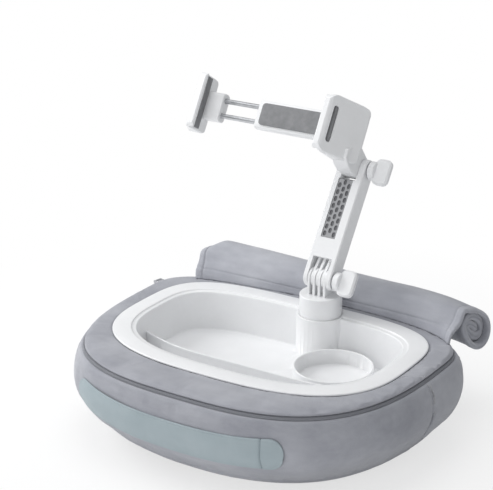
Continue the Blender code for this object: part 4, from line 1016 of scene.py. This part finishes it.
# %% Tray
BASIN_FILLET = 0.0014
POST_RADIUS = 0.0243
SOCKET_RADIUS = 0.0275
DIVIDER_Y = -0.045
DIVIDER_SWEEP = 0.018
DIVIDER_STRAIGHT = 0.060
WALL_THICK = 0.0026
DIVIDER_TOP = FLOOR_TOP + 0.0245
CUP_AT = (0.072, 0.022)
CUP_RADIUS = 0.042
CUP_TOP = FLOOR_TOP + 0.0165
LEDGE = (  # how far in from the rim's edge, and how far below the rim's top
    (0.0100, -0.00005), (0.0180, 0), (0.0191, 0.0001), (0.0196, 0.0005), (0.0198, 0.0011),
    (0.0202, 0.0014), (0.0236, 0.0015), (0.0243, 0.0017), (0.0247, 0.0024),
)
POST_HOLES = (  # radius, bottom, top and corners: the post's bore, the screw head, the screw
    (POST_RADIUS + 0.0003, 0.0666, 0.12, 96),
    (0.0054, 0.05, 0.0626, 40),
    (0.0024, 0.05, 0.11, 32),
)


def join(target, tool, operation):
    """Joins a tool mesh to a piece or cuts it away, and removes the tool."""
    step = target.modifiers.new("join", "BOOLEAN")
    step.object = tool
    step.operation = operation
    step.solver = "EXACT"
    keep_modifiers(target)
    bpy.data.objects.remove(tool)


def keep_modifiers(piece):
    """Turns a piece's modifiers into plain mesh."""
    view = bpy.context.evaluated_depsgraph_get()
    settled = bpy.data.meshes.new_from_object(piece.evaluated_get(view))
    piece.modifiers.clear()
    piece.data = settled


def soften(piece, width, angle_deg=35):
    """Rounds a moulded piece's edges and smooths the rest."""
    bevel = piece.modifiers.new("round", "BEVEL")
    bevel.width = width
    bevel.segments = 3
    bevel.limit_method = "ANGLE"
    bevel.angle_limit = math.radians(angle_deg)
    bevel.harden_normals = False
    keep_modifiers(piece)
    piece.data.shade_smooth()
    piece.data.set_sharp_from_angle(angle=math.radians(40))
    weigh = piece.modifiers.new("even shading", "WEIGHTED_NORMAL")
    weigh.keep_sharp = True
    keep_modifiers(piece)


def circle(radius, count, at):
    """(x, y) points round a circle."""
    turns = np.linspace(0, 2 * math.pi, count, endpoint=False)
    return np.column_stack([np.cos(turns), np.sin(turns)]) * radius + at


def round_rod(name, radius, low, high, count=96):
    """A rod on the post's axis."""
    ring = circle(radius, count, POST_AT)
    return skin(name, [upright(ring, low), upright(ring, high)], white_plastic, cap="fan")


def tray_rings(turns):
    """The tray's skin, from the middle of its underside over the rim to its floor."""

    def basin(height, grow, outside):
        return upright(rim_d(turns, grow - basin_inset(height, outside)), height)

    quarter = np.radians([30, 60, 90])
    under = basin(FLOOR_BOTTOM, -BASIN_FILLET, True)
    rings = [under * (s, s, 1) for s in (0.4, 0.8)] + [under]
    for t in quarter:
        rise = BASIN_FILLET * (1 - math.cos(t))
        rings.append(basin(FLOOR_BOTTOM + rise, -BASIN_FILLET * (1 - math.sin(t)), True))
    rings += [basin(h, 0, True) for h in (0.075, 0.090, 0.1022)]
    rings.append(basin(RIM_BOTTOM, 0.0010, True))
    rings.append(upright(rim_d(turns, -0.010), RIM_BOTTOM))
    middle, half = (RIM_BOTTOM + RIM_TOP) / 2, (RIM_TOP - RIM_BOTTOM) / 2
    for t in np.radians(np.arange(-90, 91, 22.5)):
        rings.append(upright(rim_d(turns, -half + half * math.cos(t)), middle + half * math.sin(t)))
    rings += [upright(rim_d(turns, -inset), RIM_TOP - drop) for inset, drop in LEDGE]
    rings += [basin(h, 0, False) for h in (0.1020, 0.090, 0.075, FLOOR_TOP + BASIN_FILLET)]
    for t in quarter:
        rise = BASIN_FILLET * (1 - math.sin(t))
        rings.append(basin(FLOOR_TOP + rise, -BASIN_FILLET * (1 - math.cos(t)), False))
    floor = rings[-1]
    return rings + [floor * (s, s, 1) for s in (0.8, 0.4)]


def basin_reach(y, height):
    """Half the basin's width at the middle of its wall."""
    grow = BASIN_WALL / 2 - basin_inset(height, False)
    depth, power = RIM_FRONT + grow, RIM_POWERS[0]
    if y > 0:
        depth, power = RIM_BACK + grow, RIM_POWERS[1]
    return (RIM_HALF_WIDTH + grow) * (1 - abs(y / depth) ** power) ** (1 / power)


def wall_section(top):
    """A thin wall's section with a half-round top, as (off its middle, height) pairs."""
    half, low = WALL_THICK / 2, FLOOR_TOP - 0.001
    pairs = [(-half, low), (-half, top - half)]
    for a in np.radians([30, 60, 90, 120, 150]):
        pairs.append((-half * math.cos(a), top - half + half * math.sin(a)))
    return pairs + [(half, top - half), (half, low)]


def make_divider():
    """The long wall behind the front slot; its ends sweep back into the basin's sides."""
    sections = []
    end_y = DIVIDER_Y + DIVIDER_SWEEP
    for side, shares in ((-1, np.linspace(1, 0, 13)), (1, np.linspace(0, 1, 13)[1:])):
        for t in shares:
            y = end_y + (DIVIDER_Y - end_y) * (1 - t * t)
            section = []
            for off, height in wall_section(DIVIDER_TOP):
                reach = basin_reach(end_y, max(height, FLOOR_TOP + BASIN_FILLET))
                x = side * (DIVIDER_STRAIGHT + (reach - DIVIDER_STRAIGHT) * t)
                section.append((x, y + off, height))
            sections.append(np.array(section))
    return skin("divider_tool", sections, white_plastic, cap="fan")


def make_cup_ring():
    """The low round wall that holds a cup."""
    rings = []
    for off, height in wall_section(CUP_TOP):
        rings.append(upright(circle(CUP_RADIUS + WALL_THICK / 2 + off, 112, CUP_AT), height))
    made = skin("cup_tool", rings + rings[:1], white_plastic)
    rework(made.data, weld(1e-6), face_outwards)
    return made


def make_tray():
    turns, _ = even_turns(rim_d, 220)
    tray = skin("tray_moulding", tray_rings(turns), white_plastic, cap="fan")
    boss = round_rod("boss_tool", SOCKET_RADIUS, FLOOR_BOTTOM, RIM_TOP - 0.0003)
    soften(boss, 0.0008)
    for wall in (boss, make_divider(), make_cup_ring()):
        join(tray, wall, "UNION")
    for radius, low, high, corners in POST_HOLES:
        join(tray, round_rod("hole_tool", radius, low, high, corners), "DIFFERENCE")
    tray.data.shade_smooth()
    tray.data.set_sharp_from_angle(angle=math.radians(32))
    return tray


tray_moulding = make_tray()
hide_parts("tray", "post_socket")
print("tray:", len(tray_moulding.data.polygons), "faces")

# %% [markdown]
# The hinges, arm, knobs and clamp are small rigid mouldings, so their solids already have
# the true shape. Each one is copied, its flat facets are merged, and its edges get the
# small radius that a mould leaves, with a width that suits the piece.

# %% Rounded copies of the rigid solids
def merge_facets(work):
    """A step that merges facets that lie in one plane."""
    parts = {"verts": work.verts, "edges": work.edges, "delimit": {"NORMAL"}}
    bmesh.ops.dissolve_limit(work, angle_limit=math.radians(1.5), **parts)


def rounded(node, name, finish, width):
    """A copy of a solid with merged facets and rounded edges that stands in for it."""
    mesh = solids[node].data.copy()
    mesh.materials.clear()
    mesh.materials.append(finish)
    made = bpy.data.objects.new(name, mesh)
    scene.collection.objects.link(made)
    rework(mesh, weld(5e-6), merge_facets)
    if width:
        soften(made, width, 30)
    else:
        mesh.shade_smooth()
        mesh.set_sharp_from_angle(angle=math.radians(35))
    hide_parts(node)
    return made


PIECES = [  # body, piece, solid, finish, edge radius
    ("cushion", "zip_slider_body", "zip_slider", zip_metal, 0.0003),
    ("zip_pull", "zip_pull_tab", "zip_pull", zip_metal, 0.0003),
    ("post", "hinge_post", "post", white_plastic, 0.0004),
    ("post", "socket_screw", "post_screw", steel, 0.0002),
    ("post", "socket_washer", "post_washer", steel, 0.0001),
    ("arm", "folding_arm", "arm_frame", white_plastic, 0.0006),
    ("arm", "arm_insert_plate", "arm_insert", grey_insert, 0.0002),
    ("clamp_head", "fixed_jaw_moulding", "fixed_jaw_shell", white_plastic, 0.0006),
    # The jaw's inner plate takes the dark copy of the insert plastic: painted shade for the hollow seen
    # through the slot.
    ("clamp_head", "fixed_jaw_plate", "fixed_jaw_cover", painted_shade_plastic, 0.0004),
    ("clamp_head", "fixed_jaw_grip", "fixed_jaw_lining", grip_rubber, 0.0003),
    ("clamp_head", "rail_moulding", "rail_housing", white_plastic, 0.0008),
    ("clamp_head", "back_rest_pad", "back_pad", grip_rubber, 0.0005),
    ("clamp_head", "rail_screw_front_steel", "rail_screw_front", steel, 0.0001),
    ("clamp_head", "rail_screw_back_steel", "rail_screw_back", steel, 0.0001),
    ("sliding_jaw", "sliding_jaw_moulding", "sliding_jaw_shell", white_plastic, 0.0006),
    ("sliding_jaw", "sliding_jaw_grip", "sliding_jaw_lining", grip_rubber, 0.0003),
]
PAIRED = [  # the same, for pieces that come twice: each {} is lower, then upper
    ("arm", "{}_hinge_bolt", "{}_bolt", steel, 0.0002),
    ("arm", "{}_hinge_washer", "{}_washer", steel, 0.0001),
    ("{}_knob", "{}_knob_moulding", "{}_wing_knob", white_plastic, 0.0011),
    ("{}_knob", "{}_knob_brass_nut", "{}_knob_nut", brass, 0.0001),
    ("clamp_head", "{}_spring_wire", "clamp_spring_{}", steel, 0),
    ("sliding_jaw", "{}_rod_steel", "guide_rod_{}", steel, 0.0002),
    ("sliding_jaw", "{}_rod_stop_collar", "rod_stop_{}", steel, 0.0002),
]
for end in ("lower", "upper"):
    PIECES += [(*[word.format(end) for word in row[:3]], *row[3:]) for row in PAIRED]
rigid = {}
for body, name, node, finish, width in PIECES:
    rigid[name] = (rounded(node, name, finish, width), body, finish)
print("rigid pieces:", len(rigid))

# %% [markdown]
# The strip in the arm's front is moulded as a net: staggered long pockets, three across,
# in a paler face. The pockets are cut with one exact boolean, and every face that ends up
# below the net's face is coloured darker: painted shade in the pockets. The slot in the fixed
# jaw gets a plug that sits deep in it and carries a raised rib; its deep floor is a dark
# rubber sheet put there as painted shade for the jaw's hollow, and a dark groove runs beside the rib.

# %% Pockets of the arm's strip and the jaw's slot plug
ARM_AXIS_AT = Vector((0.0194, 0.083, 0.148))
ARM_LEAN = math.radians(34.4)
ARM_UP = Vector((0.0, math.sin(ARM_LEAN), math.cos(ARM_LEAN)))
ARM_FRONT = Vector((0.0, -ARM_UP.z, ARM_UP.y))
POCKET_PITCH = (0.0058, 0.0083)
POCKET_HALF = (0.0019, 0.0031)
POCKET_DEPTH = 0.0007
POCKET_MARGINS = (0.0045, 0.0025)
JAW_AT = Vector((0.0045, 0.114042, 0.318896))
JAW_BACK = Vector((0.0, 0.85896, -0.512043))
JAW_UP = Vector((0.0, -JAW_BACK.z, JAW_BACK.y))
SLOT_MIDDLE = -0.0030
SLOT_HALF = (0.0034, 0.0209)
RIB_HALF = (0.0017, 0.0200)
RIB_BACK = 0.0015


def racetrack(half_across, half_along, corner_points=5):
    """A rectangle with half-round ends, as (across, along) pairs."""
    straight = half_along - half_across
    pairs = []
    for turn, centre in ((0, straight), (180, -straight)):
        for angle in np.radians(np.linspace(turn, turn + 180, corner_points * 2 + 1)):
            pairs.append((half_across * math.cos(angle), centre + half_across * math.sin(angle)))
    return pairs


def cut_pockets(plate):
    """Cuts the staggered pockets and colours their floors and walls darker as painted shade."""
    local = [Vector(v.co) - ARM_AXIS_AT for v in plate.data.vertices]
    face = max(v.dot(ARM_FRONT) for v in local)
    low, high = (pick(v.dot(ARM_UP) for v in local) for pick in (min, max))
    left, right = (pick(v.x for v in local) for pick in (min, max))
    middle = (left + right) / 2
    ring = racetrack(*POCKET_HALF, corner_points=3)
    count = len(ring)
    points, faces = [], []
    for column in (-1, 0, 1):
        start = low + POCKET_MARGINS[0] + (POCKET_PITCH[1] / 2 if column == 0 else 0)
        for along in np.arange(start, high - POCKET_MARGINS[1], POCKET_PITCH[1]):
            first = len(points)
            for depth in (-POCKET_DEPTH, 0.002):
                for across, up in ring:
                    across = middle + column * POCKET_PITCH[0] + across
                    here = ARM_AXIS_AT + ARM_UP * (along + up) + ARM_FRONT * (face + depth)
                    points.append(here + Vector((across, 0, 0)))
            ends = [tuple(range(count)), tuple(range(count, 2 * count))]
            faces += [tuple(first + k for k in f) for f in ends + net_faces(2, count)]
    join(plate, new_piece("pocket_tool", points, faces, painted_shade_plastic, False), "DIFFERENCE")
    plate.data.materials.clear()
    plate.data.materials.append(grey_insert)
    plate.data.materials.append(painted_shade_plastic)
    # Faces sunk below the net's face take the darker colour, which is painted shade in the pockets.
    for polygon in plate.data.polygons:
        sunk = face - (polygon.center - ARM_AXIS_AT).dot(ARM_FRONT)
        polygon.material_index = int(POCKET_DEPTH * 0.3 < sunk < POCKET_DEPTH * 1.05)
    return len(faces)


def make_slot_plug():
    """A plug deep in the fixed jaw's slot, with a raised rib along its back side; its dark floor is
    painted shade for the jaw's hollow.
    """
    shell = [Vector(v.co) - JAW_AT for v in solids["fixed_jaw_shell"].data.vertices]
    shell = [v for v in shell if abs(v.dot(JAW_BACK) - SLOT_MIDDLE) < 0.0042]
    face = max(v.x for v in shell if abs(v.dot(JAW_UP)) < 0.0215)
    wide, rib = np.array(racetrack(*SLOT_HALF)), np.array(racetrack(*RIB_HALF))
    # The wide rings make the deep floor: a dark rubber sheet that is painted shade for the jaw's
    # hollow.
    steps = (  # outline, how much of it, how far back it sits, how deep
        (wide, 1, 0, 0.0062),
        (wide, 1, 0, 0.0050),
        (rib, 1, RIB_BACK, 0.0049),
        (rib, 1, RIB_BACK, 0.0014),
        (rib, 0.85, RIB_BACK, 0.0010),
    )
    rings = []
    for outline, scale, back, depth in steps:
        at = JAW_AT + Vector((face - depth, 0, 0)) + JAW_BACK * (SLOT_MIDDLE + back)
        rings.append(np.array([at + JAW_BACK * a + JAW_UP * u for a, u in outline * scale]))
    print("slot beside the face:", round(face, 4))
    return skin("slot_shade_plug", rings, grip_rubber, cap="fan")


print("pocket faces:", cut_pockets(rigid["arm_insert_plate"][0]))
slot_shade_plug = make_slot_plug()

# %% [markdown]
# The slider's inner half closes round the teeth. It sits in the groove behind the body that
# carries the pull, so it is made as a short block that reaches from that body to the teeth.

# %% The zip slider's inner half
SLIDER_HALF = (0.0016, 0.0048)
SLIDER_REACH = 0.0034
SLIDER_OVERLAP = 0.0006


def make_slider_block():
    body = points_of(solids["zip_slider"].data)
    points, out = zip_run()
    nearest = np.argmin(np.linalg.norm(points - body[:, :2].mean(axis=0), axis=1))
    push = np.append(out[nearest], 0)
    along = np.array([-push[1], push[0], 0])
    middle = (body.min(axis=0) + body.max(axis=0)) / 2
    inner = ((body - middle) @ push).min()
    rings = []
    for depth in (-SLIDER_REACH, SLIDER_OVERLAP):
        centre = middle * (1, 1, 0) + (0, 0, ZIP_MIDDLE) + push * (inner + depth)
        rings.append(np.array([centre + along * a + (0, 0, h) for h, a in racetrack(*SLIDER_HALF)]))
    return skin("zip_slider_block", rings, zip_metal, cap="fan")


zip_slider_block = make_slider_block()
zip_slider_block.data.set_sharp_from_angle(angle=math.radians(35))
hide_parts("zip_slider")
print("slider block:", np.array(zip_slider_block.bound_box).min(axis=0).round(4))

# %% [markdown]
# Last, each piece is tied to the body that carries it, so that it moves with its hinge or
# slide. The table also lists the material slot that a user of the part may want to change.

# %% Tie pieces to bodies, with their slots listed
SLOT_OF = {
    white_plastic: "white_plastic",
    grey_insert: "insert_plastic",
    painted_shade_plastic: "insert_plastic",
    grip_rubber: "grip_rubber",
    steel: "steel",
    brass: "brass",
    zip_metal: "zip_metal",
}
ties = {piece: (body, SLOT_OF[finish]) for piece, body, finish in rigid.values()}
ties |= {
    cushion_cover: ("cushion", "cushion_fabric"),
    rolled_cover: ("cushion", "cushion_fabric"),
    base_cloth_panel: ("cushion", "base_fabric"),
    carry_strap_tape: ("cushion", "strap_webbing"),
    strap_tab: ("cushion", "strap_webbing"),
    zip_tape: ("cushion", "zip_teeth"),
    zip_teeth: ("cushion", "zip_teeth"),
    zip_slider_block: ("cushion", "zip_metal"),
    tray_moulding: ("tray", "white_plastic"),
    slot_shade_plug: ("clamp_head", "grip_rubber"),
}
for piece, (body, slot) in ties.items():
    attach(piece, body)
print("tied:", len(ties), "pieces")
